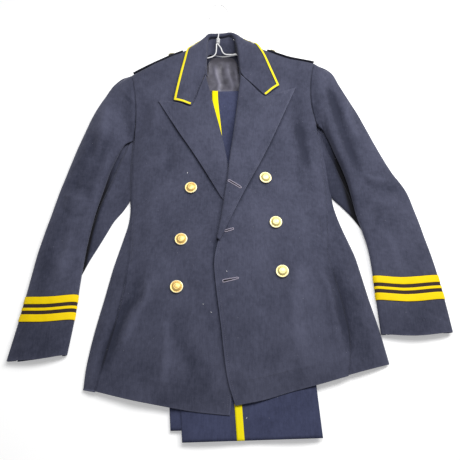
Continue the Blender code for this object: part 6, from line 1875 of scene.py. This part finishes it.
def buttonholes():
    """A ring of purl stitches round each slit, and a near-black sheet on the slit, painted as the shadow in
    the open hole.
    """
    for name, node, first, last, wide, narrow, opens, closes in BUTTONHOLES:
        start, way = np.array(first), np.array(last) - np.array(first)
        length = np.linalg.norm(way)
        ahead = way / length
        aside = np.array([-ahead[1], ahead[0]])
        ring = []
        for k in range(57):
            angle = 2.0 * math.pi * k / 56
            share = 0.5 - 0.5 * math.cos(angle)
            stretched = np.clip(0.5 - 0.54 * math.cos(angle), 0.0, 1.0)
            side = math.sin(angle)
            half = (wide + (narrow - wide) * share) * max(-1.0, min(1.0, 1.6 * side))
            x, y = start + stretched * way + half * aside
            ring.append(on_panel(node, x, y, 0.0004))
        sewn(name + "_purl", [ring], BUTTONHOLE_THREAD, 0.0009, PURL_STITCH)
        rows = []
        for t in np.linspace(opens, closes, 15):
            middle = start + t * way
            done = np.clip((t - opens) / (closes - opens), 0.04, 0.96)
            half = SLIT_WIDTH * (wide + (narrow - wide) * t) * math.sin(math.pi * done) ** 0.4
            rows.append([on_panel(node, *(middle + side * half * aside), SLIT_LIFT)
                         for side in (-1.0, 0.0, 1.0)])
        # The slit's sheet is painted near black, as the shadow inside the hole.
        mesh = grid_mesh(name + "_slit", np.array(rows))
        mesh.shade_smooth()
        thing = finished(bpy.data.objects.new(name + "_slit", mesh), None, HOLE_SHADOW)
        walled(thing, 0.0002, False)


# Bits of lint on the coat. Columns: panel, x, y, length, direction in degrees.
LINT_PLACES = (
    ("front_left", -0.0873, 0.1254, 0.0034, 75.0),
    ("front_right", -0.0062, -0.085, 0.0026, 120.0),
    ("front_left", -0.0495, -0.1476, 0.0022, 20.0),
    ("front_left", -0.0346, -0.1625, 0.0024, 150.0),
    ("trouser_leg_upper", 0.0287, -0.3443, 0.0026, 60.0),
)


def lint():
    """A few bits of pale fluff."""
    for number, (node, x, y, length, degrees) in enumerate(LINT_PLACES, 1):
        turn = math.radians(degrees)
        across, up = length * math.cos(turn), length * math.sin(turn)
        line = [on_panel(node, x + s * across, y + s * up, 0.0004 + 0.0004 * abs(s))
                for s in (-0.5, -0.25, 0.0, 0.25, 0.5)]
        strand(f"lint_{number}", [line], 0.00055, LINT)


FLOOR_REACH, FLOOR_HEIGHT = 6.0, -0.0006
FLOOR_GLOW, ROOM_LIGHT = 0.3, 0.26
# Columns: name, place, size, power, colour.
LIGHTS = (
    ("key_softbox", (1.05, 0.75, 1.3), 0.8, 20.5, (1.0, 0.99, 0.97)),
    ("overhead_softbox", (0.08, 0.18, 0.9), 0.5, 5.6, (0.98, 0.985, 1.0)),
)
# The camera: what it looks at, how far away it is, its tilt from straight down, and its lens in pixels of a
# picture of this width.
CAMERA_TARGET = (-0.004, -0.08481, 0.025)
CAMERA_DISTANCE = 0.976
CAMERA_TILT = math.radians(23.0)
LENS_PIXELS, PICTURE_PIXELS = 498.0, 460.0
SENSOR = 36.0


def stage_and_camera():
    """Pale floor, soft light and the camera over the laid garment."""
    mesh = bpy.data.meshes.new("floor")
    around = ((-1, -1), (1, -1), (1, 1), (-1, 1))
    corners = [(FLOOR_REACH * x, FLOOR_REACH * y, FLOOR_HEIGHT) for x, y in around]
    mesh.from_pydata(corners, [], [(0, 1, 2, 3)])
    floor = bpy.data.objects.new("floor", mesh)
    bpy.context.scene.collection.objects.link(floor)
    material, tree, shader = blank("pale_floor")
    soft = cloudy(tree, on_object(tree), 3.0, 2.0, 0.5)
    tree.links.new(tint(tree, soft, (0.93, 0.93, 0.93), (0.95, 0.95, 0.95)), shader.inputs["Base Color"])
    shader.inputs["Roughness"].default_value = 0.9
    shader.inputs["Emission Color"].default_value = (1.0, 1.0, 1.0, 1.0)
    shader.inputs["Emission Strength"].default_value = FLOOR_GLOW
    mesh.materials.append(material)
    world = bpy.data.worlds.new("studio")
    bpy.context.scene.world = world
    world.use_nodes = True
    room = world.node_tree.nodes["Background"].inputs
    room["Color"].default_value = (1.0, 1.0, 1.0, 1.0)
    room["Strength"].default_value = ROOM_LIGHT
    target = Vector(CAMERA_TARGET)
    for name, place, size, power, colour in LIGHTS:
        light = bpy.data.lights.new(name, "AREA")
        light.size = size
        light.energy = power
        light.color = colour
        thing = bpy.data.objects.new(name, light)
        thing.location = place
        thing.rotation_euler = (target - Vector(place)).to_track_quat("-Z", "Y").to_euler()
        bpy.context.scene.collection.objects.link(thing)
    lens = bpy.data.cameras.new("camera")
    lens.sensor_width = SENSOR
    lens.lens = SENSOR * LENS_PIXELS / PICTURE_PIXELS
    lens.clip_end = 20.0
    camera = bpy.data.objects.new("camera", lens)
    away = Vector((0.0, -math.sin(CAMERA_TILT), math.cos(CAMERA_TILT)))
    camera.location = target + CAMERA_DISTANCE * away
    camera.rotation_euler = (CAMERA_TILT, 0.0, 0.0)
    bpy.context.scene.collection.objects.link(camera)
    bpy.context.scene.camera = camera
    bpy.context.scene.view_settings.view_transform = "Standard"


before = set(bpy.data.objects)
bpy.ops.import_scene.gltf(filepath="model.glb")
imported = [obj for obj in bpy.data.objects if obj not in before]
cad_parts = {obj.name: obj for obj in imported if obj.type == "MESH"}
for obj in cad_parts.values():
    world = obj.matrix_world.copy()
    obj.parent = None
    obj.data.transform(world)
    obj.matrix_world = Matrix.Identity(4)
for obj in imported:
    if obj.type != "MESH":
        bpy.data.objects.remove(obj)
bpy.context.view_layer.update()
trousers()
coat_body()
lapels_and_collar()
sleeves()
lining()
front_buttons()
straps()
hanger()
edge_stitching()
buttonholes()
lint()
stage_and_camera()
